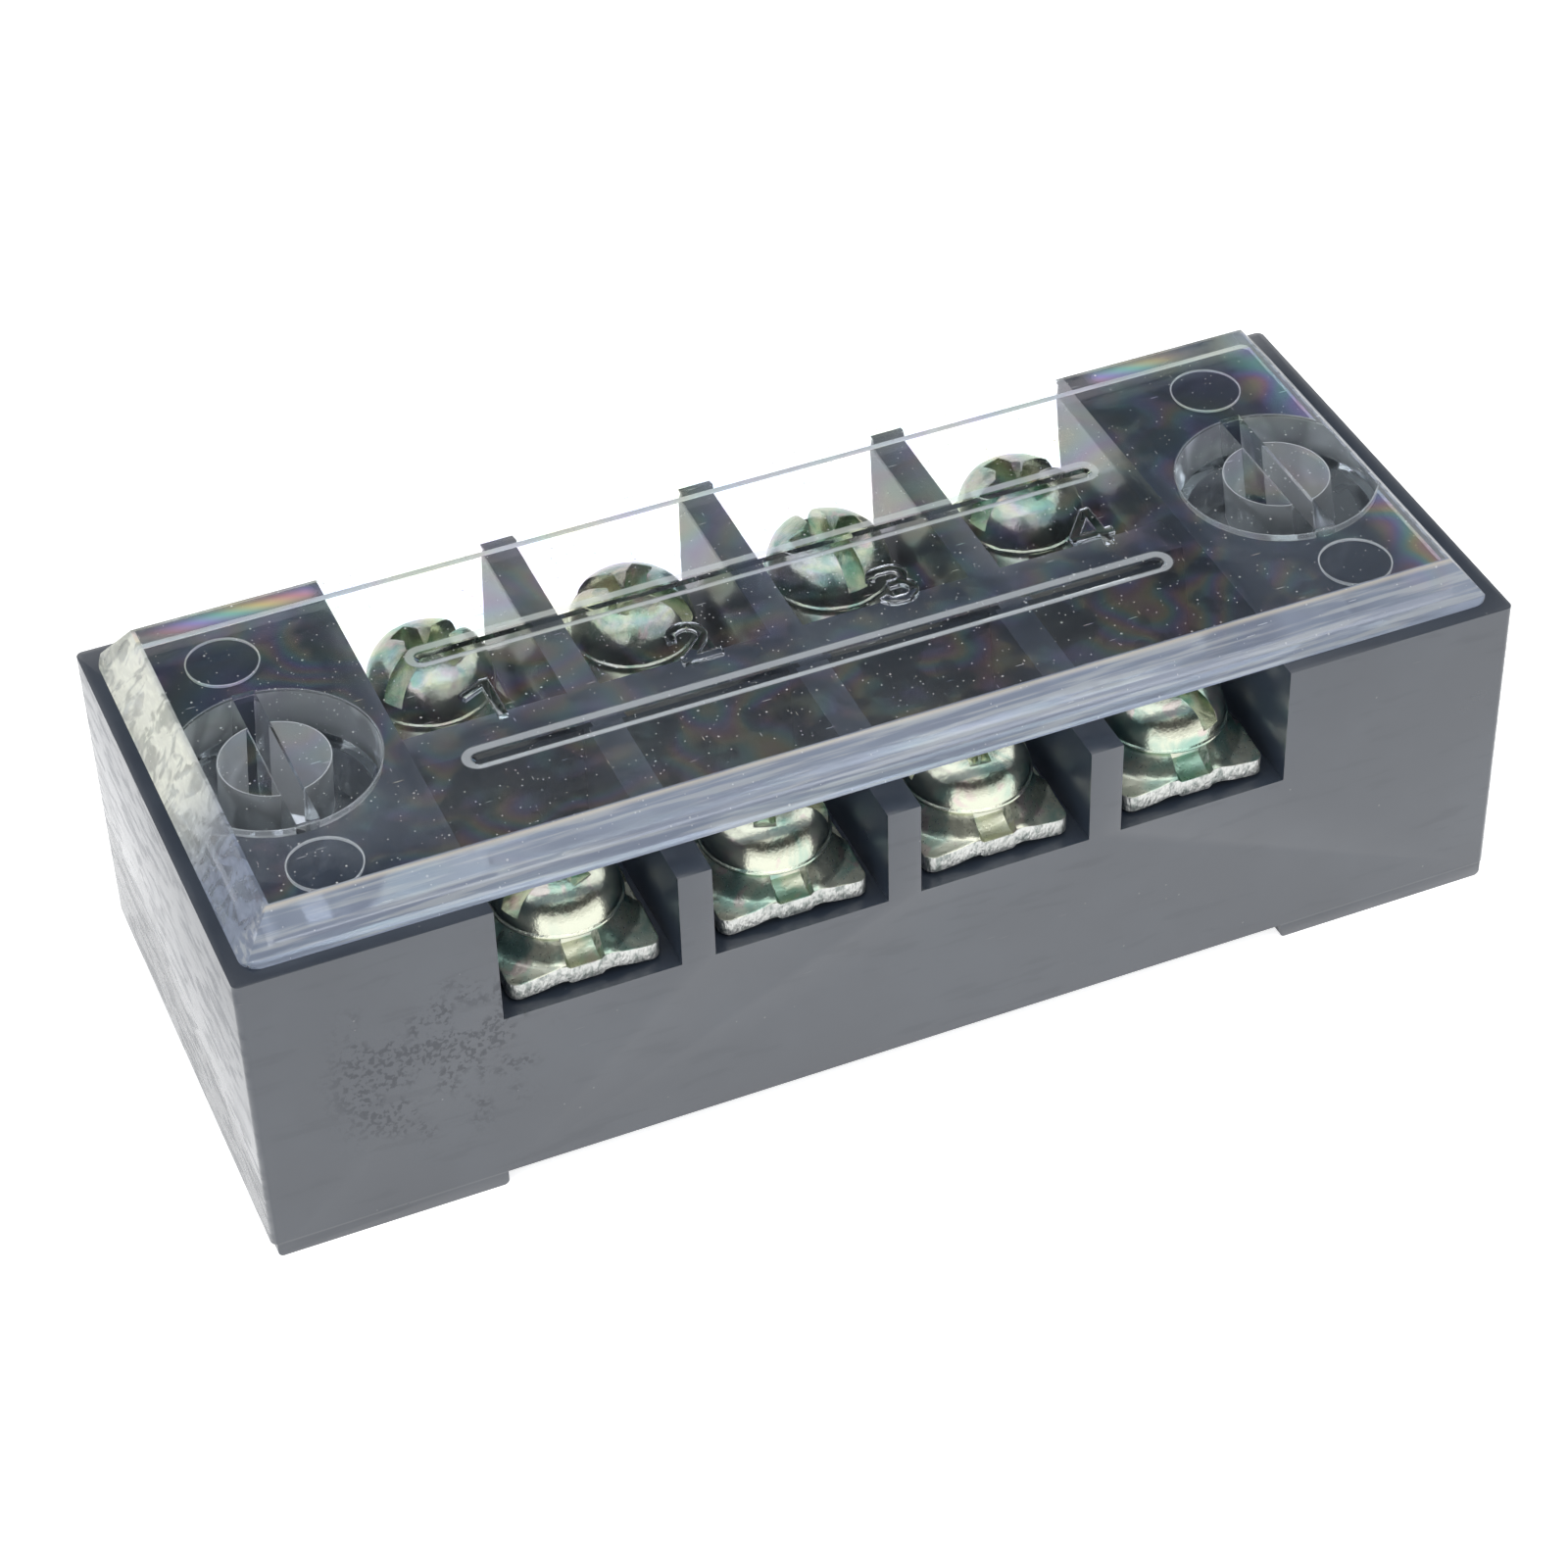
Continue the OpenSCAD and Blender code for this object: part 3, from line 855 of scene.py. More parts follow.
@dataclass(frozen=True)
class PlatedBrass(Finish):
    """Dull tin-plated brass of the contact bars, with rolling marks along them."""

    name: str = "plated_brass"
    plate: Colour = (0.62, 0.62, 0.54)
    brass: Colour = (0.62, 0.50, 0.26)
    roughness: float = 0.32
    rolling: Noise = Noise(2.5, 3, 0, (4, 0.15, 4))
    rolled: Effect = Effect(rough=0.2)
    wear: Noise = Noise(0.8, 4, span=(0.55, 0.72))
    relief: Relief = Relief(0.3, 0.02)

    def inputs(self, at: Spot) -> dict[str, Any]:
        """Work out the shader's inputs.

        Args:
            at: The spot.

        Returns:
            The inputs by name.
        """
        rolling = at.graph.noise(self.rolling)
        return {
            "Base Color": at.graph.mix(at.graph.mask(self.wear), self.plate, self.brass),
            "Metallic": 1.0,
            "Roughness": self.roughness + rolling * self.rolled.rough,
            "Normal": at.graph.bump(rolling, self.relief),
        }


# Mesh work shared by the pieces


def merged_copy(node: str) -> Mesh:
    """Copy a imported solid, with its loose triangles merged into flat faces.

    Args:
        node: The CAD node.

    Returns:
        The copy, in metres.
    """
    mesh = bmesh.new()
    mesh.from_mesh(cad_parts[node].data)
    bmesh.ops.remove_doubles(mesh, verts=mesh.verts, dist=WELD)
    bmesh.ops.dissolve_limit(mesh, angle_limit=FLAT_ANGLE, verts=mesh.verts, edges=mesh.edges)
    return mesh


def soften(
    mesh: Mesh, radius_mm: float, wanted: Callable[[Vector], bool], segments: int = 2, least_deg: float = 30
) -> None:
    """Bevel the sharp outward edges that are wanted.

    Args:
        mesh: The mesh to change.
        radius_mm: Reach of the bevel on each face.
        wanted: Says from an edge's middle, in millimetres, whether it is bevelled.
        segments: Facets across the bevel.
        least_deg: Smallest angle between the faces of a sharp edge.
    """
    least = math.radians(least_deg)
    edges = [
        edge
        for edge in mesh.edges
        if len(edge.link_faces) == 2
        and edge.calc_face_angle_signed() > least
        and wanted((edge.verts[0].co + edge.verts[1].co) / (2 * MM))
    ]
    bevel(mesh, edges, radius_mm, segments, True)


def bevel(mesh: Mesh, edges: list[bmesh.types.BMEdge], radius_mm: float, segments: int, clamp: bool) -> None:
    """Round some edges.

    Args:
        mesh: The mesh to change.
        edges: Its edges.
        radius_mm: Reach of the bevel on each face.
        segments: Facets across the bevel.
        clamp: Whether bevels stop where they meet.
    """
    bmesh.ops.bevel(
        mesh,
        geom=edges,
        offset=radius_mm * MM,
        offset_type="OFFSET",
        segments=segments,
        profile=0.5,
        affect="EDGES",
        clamp_overlap=clamp,
        material=-1,
    )


def crease(mesh: Mesh) -> None:
    """Shade a mesh smooth, apart from its sharp edges."""
    for face in mesh.faces:
        face.smooth = True
    for edge in mesh.edges:
        edge.smooth = len(edge.link_faces) == 2 and edge.calc_face_angle() < CREASE_ANGLE


def as_object(name: str, mesh: Mesh) -> bpy.types.Object:
    """Put a bmesh into a new object at the origin and free it.

    Args:
        name: The object's name.
        mesh: The bmesh, in metres.

    Returns:
        The object, linked to the scene.
    """
    data = bpy.data.meshes.new(name)
    mesh.to_mesh(data)
    mesh.free()
    thing = bpy.data.objects.new(name, data)
    bpy.context.scene.collection.objects.link(thing)
    return thing


def applied(thing: bpy.types.Object) -> Mesh:
    """Return the mesh that an object's modifiers make."""
    evaluated = thing.evaluated_get(bpy.context.evaluated_depsgraph_get())
    result = bmesh.new()
    result.from_mesh(evaluated.to_mesh())
    evaluated.to_mesh_clear()
    return result


def discard(*things: bpy.types.Object) -> None:
    """Remove helper objects and their meshes."""
    for thing in things:
        data = thing.data
        bpy.data.objects.remove(thing)
        bpy.data.meshes.remove(data)


def moved(mesh: Mesh, offset: Vector) -> Mesh:
    """Move a whole mesh by an offset in metres and return it."""
    bmesh.ops.translate(mesh, verts=mesh.verts, vec=offset)
    return mesh


def verts_of(parts: Iterable[Any]) -> list[Vertex]:
    """Return the vertices among an operator's results."""
    return [part for part in parts if isinstance(part, Vertex)]


def combined(target: Mesh, tool: Mesh, how: Cut) -> Mesh:
    """Join two closed meshes or take one from the other. Both are used up.

    Args:
        target: The mesh that is changed.
        tool: The mesh that is joined to it or taken away.
        how: Which of the two is done.

    Returns:
        The new mesh.
    """
    body = as_object("cut_body", target)
    other = as_object("cut_tool", tool)
    modifier = body.modifiers.new("cut", "BOOLEAN")
    modifier.operation = how.value
    modifier.object = other
    modifier.solver = "EXACT"
    modifier.use_self = True
    result = applied(body)
    discard(body, other)
    bmesh.ops.remove_doubles(result, verts=result.verts, dist=WELD)
    return result


def spun(profile: list[tuple[float, float]], steps: int) -> Mesh:
    """Turn a profile about the Z axis into a closed solid.

    Args:
        profile: Radii and heights in millimetres, from the axis round to the axis.
        steps: Facets in a full turn.

    Returns:
        The solid, in metres.
    """
    mesh = bmesh.new()
    verts = [mesh.verts.new(place(radius, 0, z)) for radius, z in profile]
    edges = [mesh.edges.new(pair) for pair in zip(verts, verts[1:])]
    bmesh.ops.spin(
        mesh,
        geom=verts + edges,
        axis=UP,
        cent=ORIGIN,
        angle=math.tau,
        steps=steps,
        use_merge=True,
    )
    bmesh.ops.remove_doubles(mesh, verts=mesh.verts, dist=WELD)
    bmesh.ops.recalc_face_normals(mesh, faces=mesh.faces)
    return mesh


def block(size: Vector, centre: Vector) -> Mesh:
    """Make a block.

    Args:
        size: Its three sides, in metres.
        centre: Its middle, in metres.

    Returns:
        The block.
    """
    mesh = bmesh.new()
    bmesh.ops.create_cube(mesh, size=1, matrix=Matrix.Translation(centre) @ Matrix.Diagonal((*size, 1)))
    return mesh


def finish_piece(
    name: str, mesh: Mesh, materials: Iterable[Material], body: str, node: str
) -> bpy.types.Object:
    """Make a mesh into the piece that stands for a CAD node.

    Args:
        name: The piece's name.
        mesh: Its mesh, in metres, which is used up.
        materials: Its finishes, by material number.
        body: The CAD body that it moves with.
        node: The CAD node that it replaces.

    Returns:
        The piece.
    """
    crease(mesh)
    faces = len(mesh.faces)
    piece = as_object(name, mesh)
    for material in materials:
        piece.data.materials.append(material)
    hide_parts(node)
    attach(piece, body)
    LOG.info("%s: %d faces, rides on %s", name, faces, body)
    return piece


# Pieces


@dataclass
class Housing:
    """The one-piece dark moulding."""

    edge_radius: float = 0.12
    floor_z: float = 9.03
    groove_depth: float = 0.75
    half_w: float = 11.0
    end_land: float = 0.05

    def build(self, material: Material) -> bpy.types.Object:
        """Soften the moulding's edges and dress it.

        Args:
            material: The base plastic.

        Returns:
            The piece.
        """
        mesh = merged_copy("base_housing")
        soften(mesh, self.edge_radius, self.shows)
        return finish_piece("strip_base", mesh, [material], "base", "base_housing")

    def shows(self, middle: Vector) -> bool:
        """Say whether an edge lies away from the grooves that hold the contact bars."""
        in_groove = self.floor_z - self.groove_depth < middle.z < self.floor_z + SLACK
        return not (in_groove and abs(middle.y) < self.half_w - self.end_land)


@dataclass
class Stroke:
    """One pen stroke of a pole number, as the middle line that its ridge follows."""

    start: tuple[float, float]
    moves: list[tuple[float, ...]]
    steps_per_turn: int = 40
    least_steps: int = 3

    def ridge(self, width: float, low_z: float, high_z: float, centre_x: float) -> Mesh:
        """Raise the stroke into a ridge of even width.

        Args:
            width: The ridge's width.
            low_z: Height of its lower face.
            high_z: Height of its upper face.
            centre_x: Place of the number's middle along the row.

        Returns:
            The closed ridge, in metres.
        """
        mesh = bmesh.new()
        tip = mesh.verts.new(place(self.start[0], self.start[1], low_z))
        for move in self.moves:
            tip = self.line(mesh, tip, *move) if len(move) == len(self.start) else self.arc(mesh, tip, *move)
        bmesh.ops.remove_doubles(mesh, verts=mesh.verts, dist=WELD)
        top = verts_of(bmesh.ops.extrude_edge_only(mesh, edges=mesh.edges)["geom"])
        bmesh.ops.translate(mesh, verts=top, vec=place(0, 0, high_z - low_z))
        ribbon = as_object("ribbon", moved(mesh, place(centre_x, 0, 0)))
        modifier = ribbon.modifiers.new("width", "SOLIDIFY")
        modifier.thickness = width * MM
        modifier.offset = 0
        modifier.use_even_offset = True
        result = applied(ribbon)
        discard(ribbon)
        bmesh.ops.recalc_face_normals(result, faces=result.faces)
        return result

    @staticmethod
    def line(mesh: Mesh, tip: Vertex, x: float, y: float) -> Vertex:
        """Draw a straight line from the tip to x and y and return its new end."""
        new = bmesh.ops.extrude_vert_indiv(mesh, verts=[tip])["verts"][0]
        new.co = Vector((x * MM, y * MM, tip.co.z))
        return new

    def arc(self, mesh: Mesh, tip: Vertex, x: float, y: float, turn_deg: float) -> Vertex:
        """Draw an arc from the tip.

        Args:
            mesh: The mesh that holds the line.
            tip: Where the line has come to.
            x: Place of the arc's centre along the row.
            y: Place of the arc's centre from front to back.
            turn_deg: Its turn in degrees, anticlockwise.

        Returns:
            The vertex at the new end.
        """
        turn = math.radians(turn_deg)
        result = bmesh.ops.spin(
            mesh,
            geom=[tip],
            cent=(x * MM, y * MM, tip.co.z),
            axis=UP,
            angle=turn,
            steps=max(self.least_steps, round(self.steps_per_turn * abs(turn) / math.tau)),
        )
        return verts_of(result["geom_last"])[0]


@dataclass
class Sleeve:
    """A split sleeve that plugs into a counterbore."""

    outer_radius: float = 4.252
    bore_radius: float = 2.274
    slot_w: float = 0.944
    slot_trace: float = 0.252
    length: float = 4.3
    lead: float = 0.6
    centre_x: float = 22.2
    root: float = 0.3
    steps: int = 256

    def join(self, cover: Mesh, ceiling_z: float, side: int) -> Mesh:
        """Unite a finely turned sleeve with the cover and split it.

        Args:
            cover: The cover, which is used up.
            ceiling_z: Height of the cover's ceiling.
            side: -1 for the sleeve at the first pole, 1 for the other.

        Returns:
            The cover with its sleeve.
        """
        low_z, high_z = ceiling_z - self.length, ceiling_z + self.root
        profile = [
            (self.bore_radius, low_z),
            (self.outer_radius - self.lead / 2, low_z),
            (self.outer_radius, low_z + self.lead),
            (self.outer_radius, high_z),
            (self.bore_radius, high_z),
            (self.bore_radius, low_z),
        ]
        centre_x = side * self.centre_x
        ring = moved(spun(profile, self.steps), place(centre_x, 0, 0))
        deep = 2 * self.length
        size = place(self.slot_w, 2 * self.outer_radius + SLACK, deep)
        slot = block(size, place(centre_x, 0, ceiling_z + self.slot_trace - deep / 2))
        return combined(combined(cover, ring, Cut.JOIN), slot, Cut.TAKE_AWAY)


@dataclass
class Cover:
    """The clear cover with its pole numbers."""

    edge_radius: float = 0.09
    edge_segments: int = 2
    rib_radius: float = 0.19
    rib_segments: int = 1
    number_radius: float = 0.08
    number_segments: int = 3
    number_width: float = 0.4
    number_h: float = 0.2
    ceiling_z: float = 14.96
    land_z: float = 14.72
    root: float = 0.3
    pitch: float = 8.93
    pin_mark: tuple[float, float, float] = (22.3, 6.65, 1.5)
    pin_line: float = 0.07
    pin_steps: int = 96
    cut_under: float = 0.02
    rib_y: Span = (2, 5)
    end_x: float = 26.2
    front_y: float = -9.7
    side_rise: float = 1
    rear_y: float = 8.5
    rear_x: float = 20
    land_gap: float = 0.05
    ceiling_gap: float = 0.02
    sleeve: Sleeve = field(default_factory=Sleeve)
    numbers: dict[int, list[Stroke]] = field(
        default_factory=lambda: {
            1: [Stroke((0.34, -1.2), [(0.34, 1.25)]), Stroke((-0.82, 0.52), [(0.25, 1.05)])],
            2: [
                Stroke((-0.77, 0.29), [(-0.12, 0.4, -228), (-0.62, -1.0)]),
                Stroke((-0.88, -1.02), [(0.88, -1.02)]),
            ],
            3: [
                Stroke((-0.795, 0.62), [(-0.3, 0.55, -82), (0.1, 1.05), (0.1, 0.55, -180), (-0.2, 0.05)]),
                Stroke((-0.25, 0.05), [(0.12, 0.05), (0.12, -0.48, -180), (-0.25, -1.01), (-0.25, -0.48, -75)]),
            ],
            4: [
                Stroke((0.38, -1.18), [(0.38, 1.28)]),
                Stroke((0.3, 1.12), [(-0.88, -0.35)]),
                Stroke((-1.05, -0.45), [(0.88, -0.45)]),
            ],
        }
    )

    def build(self, material: Material) -> bpy.types.Object:
        """Turn the sleeves, add the pole numbers, round the ridges and dress the cover.

        Args:
            material: The clear plastic.

        Returns:
            The piece.
        """
        mesh = self.without_sleeves()
        for side in (-1, 1):
            mesh = self.sleeve.join(mesh, self.ceiling_z, side)
        soften(mesh, self.rib_radius, self.on_rib, self.rib_segments)
        low_z, high_z = self.ceiling_z - self.number_h, self.ceiling_z + self.root
        for pole, strokes in self.numbers.items():
            centre_x = (pole - (POLES + 1) / 2) * self.pitch
            for stroke in strokes:
                mesh = combined(mesh, stroke.ridge(self.number_width, low_z, high_z, centre_x), Cut.JOIN)
        mesh = self.with_pin_lines(mesh)
        bmesh.ops.dissolve_limit(mesh, angle_limit=FLAT_ANGLE, verts=mesh.verts, edges=mesh.edges)
        soften(mesh, self.number_radius, self.on_number, self.number_segments)
        soften(mesh, self.edge_radius, self.on_outline, self.edge_segments)
        return finish_piece("strip_cover", mesh, [material], "cover", "clear_cover")

    def without_sleeves(self) -> Mesh:
        """Copy the cover and cut its sleeves off just under the land.

        Returns:
            The copy.
        """
        mesh = merged_copy("clear_cover")
        cut = bmesh.ops.bisect_plane(
            mesh,
            geom=[*mesh.verts, *mesh.edges, *mesh.faces],
            plane_co=place(0, 0, self.land_z - self.cut_under),
            plane_no=UP,
            clear_inner=True,
        )
        rim = [e for e in cut["geom_cut"] if isinstance(e, bmesh.types.BMEdge)]
        bmesh.ops.triangle_fill(mesh, edges=rim, use_beauty=True)
        bmesh.ops.recalc_face_normals(mesh, faces=mesh.faces)
        return mesh

    def with_pin_lines(self, mesh: Mesh) -> Mesh:
        """Raise the fine line that each moulding pin leaves round its mark.

        Args:
            mesh: The cover, which is used up.

        Returns:
            The cover with its lines.
        """
        x, y, radius = self.pin_mark
        root_z = self.ceiling_z + self.root
        profile = [
            (radius - self.pin_line, root_z),
            (radius, self.ceiling_z - 2 * self.pin_line),
            (radius + self.pin_line, root_z),
            (radius - self.pin_line, root_z),
        ]
        for centre_x in (-x, x):
            for centre_y in (-y, y):
                line = moved(spun(profile, self.pin_steps), place(centre_x, centre_y, 0))
                mesh = combined(mesh, line, Cut.JOIN)
        return mesh

    def on_rib(self, middle: Vector) -> bool:
        """Say whether an edge is the lower rim of a rib."""
        return self.raised(middle) and self.rib_y[0] < abs(middle.y) < self.rib_y[1]

    def on_number(self, middle: Vector) -> bool:
        """Say whether an edge is the lower rim of a pole number."""
        return self.raised(middle) and abs(middle.y) < self.rib_y[0]

    def raised(self, middle: Vector) -> bool:
        """Say whether an edge is as low as the ribs and numbers reach."""
        return abs(middle.z - (self.ceiling_z - self.number_h)) < SLACK

    def on_outline(self, middle: Vector) -> bool:
        """Say whether an edge belongs to the cover's outer faces."""
        end_or_front = abs(middle.x) > self.end_x or middle.y < self.front_y
        rear = middle.y > self.rear_y and abs(middle.x) < self.rear_x
        outer = (end_or_front or middle.z > self.land_z + self.side_rise) and not rear
        off_ceiling = abs(middle.z - self.ceiling_z) > self.ceiling_gap
        return middle.z > self.land_z - self.land_gap and outer and off_ceiling


@dataclass
class ContactBars:
    """The four plated strips through the centre wall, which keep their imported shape."""

    def dress(self, material: Material) -> None:
        """Give each contact bar its finish, the plated brass."""
        for pole in range(1, POLES + 1):
            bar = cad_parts[f"contact_bar_{pole}"]
            bar.data.materials.clear()
            bar.data.materials.append(material)
            LOG.info("contact_bar_%d keeps its packed shape", pole)


@dataclass
class ClampWasher:
    """A pressed square washer: a round collar, turned-down corners, ramps and gripping ridges."""

    side: float = 6.4
    corner_radius: float = 0.5
    sheet: float = 0.75
    hole_radius: float = 1.68
    corner_z: float = 0.75
    arch: float = 0.16
    plate_rise: float = 0.10
    collar_z: float = 1.86
    collar_inner: float = 2.3
    collar_outer: float = 3.35
    droop_start: float = 2.7
    droop_reach: float = 1.36
    ramp_half: float = 0.68
    ramp_fold: float = 0.07
    ramp_top: float = 1.36
    ramp_low: float = 0.80
    ramp_start: float = 2
    ramp_cut: Span = (1.95, 2.1)
    hump: float = 0.07
    hump_at: float = 1.12
    hump_inside: float = 0.45
    hump_outside: float = 0.7
    hump_along: Span = (2.1, 2.7)
    cells: int = 72
    rim_radius: float = 0.04
    rim_segments: int = 2
    hole_share: float = 1.2
    rim_share: float = 1.3
    rim_tilt: float = 0.35

    def build(self) -> Mesh:
        """Press one washer, centred on its screw, with its corners at height 0.

        Returns:
            The mesh, in metres, with its sheared rim as material 1.
        """
        mesh = bmesh.new()
        bmesh.ops.create_grid(mesh, x_segments=self.cells, y_segments=self.cells, size=self.side / 2 * MM)
        self.cut_hole(mesh)
        self.round_corners(mesh)
        for vert in mesh.verts:
            vert.co.z = self.height(vert.co.x / MM, vert.co.y / MM) * MM
        bmesh.ops.recalc_face_normals(mesh, faces=mesh.faces)
        if sum(face.normal.z for face in mesh.faces) < 0:
            bmesh.ops.reverse_faces(mesh, faces=mesh.faces)
        self.thicken(mesh)
        return mesh

    def cut_hole(self, mesh: Mesh) -> None:
        """Open the flat sheet's hole and draw its edge onto a circle."""
        inside = [f for f in mesh.faces if f.calc_center_median().length < self.hole_radius * MM]
        bmesh.ops.delete(mesh, geom=inside, context="FACES")
        for vert in mesh.verts:
            reach = vert.co.length / MM
            if vert.is_boundary and reach < self.hole_radius * self.hole_share:
                vert.co *= self.hole_radius / reach

    def round_corners(self, mesh: Mesh) -> None:
        """Draw the flat sheet's outermost vertices at each corner onto an arc."""
        inner = (self.side / 2 - self.corner_radius) * MM
        for vert in mesh.verts:
            over = Vector((max(abs(vert.co.x) - inner, 0), max(abs(vert.co.y) - inner, 0)))
            if over.x > 0 and over.y > 0:
                share = max(over.x, over.y) / over.length
                vert.co.x = math.copysign(inner + over.x * share, vert.co.x)
                vert.co.y = math.copysign(inner + over.y * share, vert.co.y)

    def height(self, x: float, y: float) -> float:
        """Return the height of the sheet's upper face.

        Args:
            x: Place from the screw's axis along the row.
            y: Place from the screw's axis, front to back.

        Returns:
            The height above the corners' underside, in millimetres.
        """
        reach = math.hypot(x, y)
        along, across = max(abs(x), abs(y)), min(abs(x), abs(y))
        half = self.side / 2
        droop = smooth(reach, self.droop_start, half * self.droop_reach)
        plate = self.corner_z + (self.arch + self.plate_rise) * (1 - droop)
        dome = plate + (self.collar_z - plate) * (1 - smooth(reach, self.collar_inner, self.collar_outer))
        rise = smooth(across, self.hump_at - self.hump_inside, self.hump_at)
        fall = 1 - smooth(across, self.hump_at, self.hump_at + self.hump_outside)
        dome += self.hump * rise * fall * smooth(along, *self.hump_along)
        run = min(max((along - self.ramp_start) / (half - self.ramp_start), 0), 1)
        ramp = self.ramp_low + (self.ramp_top - self.ramp_low) * (1 - run) ** 2
        beside = smooth(across, self.ramp_half, self.ramp_half + self.ramp_fold)
        in_ramp = (1 - beside) * smooth(along, *self.ramp_cut)
        return dome + (min(ramp, dome) - dome) * in_ramp

    def thicken(self, mesh: Mesh) -> None:
        """Give the sheet its thickness and round its upper rim.

        Args:
            mesh: The pressed sheet, which becomes a closed solid.
        """
        top = list(mesh.faces)
        rim = [e for e in mesh.edges if e.is_boundary]
        down = verts_of(bmesh.ops.extrude_face_region(mesh, geom=top, use_keep_orig=True)["geom"])
        bmesh.ops.translate(mesh, verts=down, vec=place(0, 0, -self.sheet))
        for vert in down:
            vert.co.z = max(vert.co.z, 0)
        bmesh.ops.recalc_face_normals(mesh, faces=mesh.faces)
        outside = self.hole_radius * self.rim_share * MM
        for face in mesh.faces:
            reach = face.calc_center_median().xy.length
            face.material_index = int(abs(face.normal.z) < self.rim_tilt and reach > outside)
        edges = [e for e in rim if e.is_valid and e.verts[0].co.xy.length > outside]
        bevel(mesh, edges, self.rim_radius, self.rim_segments, False)


def smooth(value: float, low: float, high: float) -> float:
    """Run smoothly from 0 at low to 1 at high.

    Args:
        value: The number to place between them.
        low: Where the result is 0.
        high: Where the result is 1.

    Returns:
        The result, between 0 and 1.
    """
    share = min(max((value - low) / (high - low), 0), 1)
    return share * share * (3 - 2 * share)


@dataclass
class TerminalScrew:
    """A pan-head screw with a full-width slot crossed by two closed legs, and a cut thread."""

    head_radius: float = 2.75
    head_h: float = 1.9
    rim: tuple[tuple[float, float], ...] = ((2.64, 0), (2.72, 0.03), (2.74, 0.08), (2.72, 0.14), (2.65, 0.19))
    dome: tuple[tuple[float, float], ...] = (
        (2.64, 0.4),
        (2.60, 0.6),
        (2.52, 0.84),
        (2.40, 1.08),
        (2.22, 1.31),
        (1.98, 1.50),
        (1.70, 1.64),
        (1.38, 1.75),
        (1.00, 1.83),
        (0.50, 1.88),
        (0, 1.89),
    )
    core_radius: float = 1.22
    tip_radius: float = 0.87
    tip_l: float = 0.4
    neck_l: float = 0.3
    thread_radius: float = 1.5
    thread_pitch: float = 0.5
    thread_share: float = 0.42
    thread_root: float = 0.08
    thread_ends: Span = (0.35, -0.25)
    thread_steps: int = 28
    shank_l: float = 6.0
    slot_w: float = 0.9
    slot_depth: float = 1.25
    cross_l: float = 3.2
    tool_h: float = 2.0
    tool_margin: float = 0.5
    cone_below: float = 0.35
    cone_radii: Span = (0.35, 1.0)
    cone_steps: int = 32
    recess_radius: float = 0.05
    recess_segments: int = 2
    recess_least_deg: float = 40
    recess_above: float = 0.1
    head_margin: float = 0.02
    steps: int = 96

    def build(self) -> Mesh:
        """Turn, slot and thread one screw, standing on its seat at height 0.

        Returns:
            The mesh, in metres.
        """
        mesh = combined(spun(self.profile(), self.steps), self.recess(), Cut.TAKE_AWAY)
        soften(mesh, self.recess_radius, self.on_recess, self.recess_segments, self.recess_least_deg)
        return self.with_thread(mesh)

    def profile(self) -> list[tuple[float, float]]:
        """Return the radii and heights of the head and the core of the shank."""
        tip = [(0, -self.shank_l), (self.tip_radius, -self.shank_l), (self.core_radius, self.tip_l - self.shank_l)]
        neck = [(self.core_radius, -self.neck_l), (self.thread_radius, 0)]
        return [*tip, *neck, *self.rim, *self.dome]

    def recess(self) -> Mesh:
        """Return the tool that cuts the slot, the cross legs and their tapered middle."""
        floor_z, top_z = self.head_h - self.slot_depth, self.head_h + SLACK
        centre = place(0, 0, floor_z + self.tool_h / 2)
        slot = block(place(2 * (self.head_radius + self.tool_margin), self.slot_w, self.tool_h), centre)
        legs = block(place(self.slot_w, self.cross_l, self.tool_h), centre)
        cone_z = floor_z - self.cone_below
        low_radius, top_radius = self.cone_radii
        cone = spun([(0, cone_z), (low_radius, cone_z), (top_radius, top_z), (0, top_z)], self.cone_steps)
        return combined(combined(slot, legs, Cut.JOIN), cone, Cut.JOIN)

    def on_recess(self, middle: Vector) -> bool:
        """Say whether an edge is on the recess's rim."""
        over_floor = middle.z > self.head_h - self.slot_depth + self.recess_above
        return over_floor and middle.xy.length < self.head_radius - self.head_margin

    def with_thread(self, mesh: Mesh) -> Mesh:
        """Wind the thread round the core.

        Args:
            mesh: The turned screw.

        Returns:
            The threaded screw.
        """
        thread = bmesh.new()
        low, high = self.thread_ends[0] - self.shank_l, self.thread_ends[1]
        half = self.thread_pitch * self.thread_share
        root = self.core_radius - self.thread_root
        corners = [(root, half), (self.thread_radius, 0), (root, -half)]
        face = thread.faces.new([thread.verts.new(place(radius, 0, low + z)) for radius, z in corners])
        turns = (high - low) / self.thread_pitch
        steps = round(self.thread_steps * turns)
        bmesh.ops.spin(
            thread,
            geom=[face, *face.edges, *face.verts],
            axis=UP,
            cent=ORIGIN,
            dvec=place(0, 0, (high - low) / steps),
            angle=math.tau * turns,
            steps=steps,
        )
        bmesh.ops.remove_doubles(thread, verts=thread.verts, dist=WELD)
        bmesh.ops.recalc_face_normals(thread, faces=thread.faces)
        return combined(mesh, thread, Cut.JOIN)


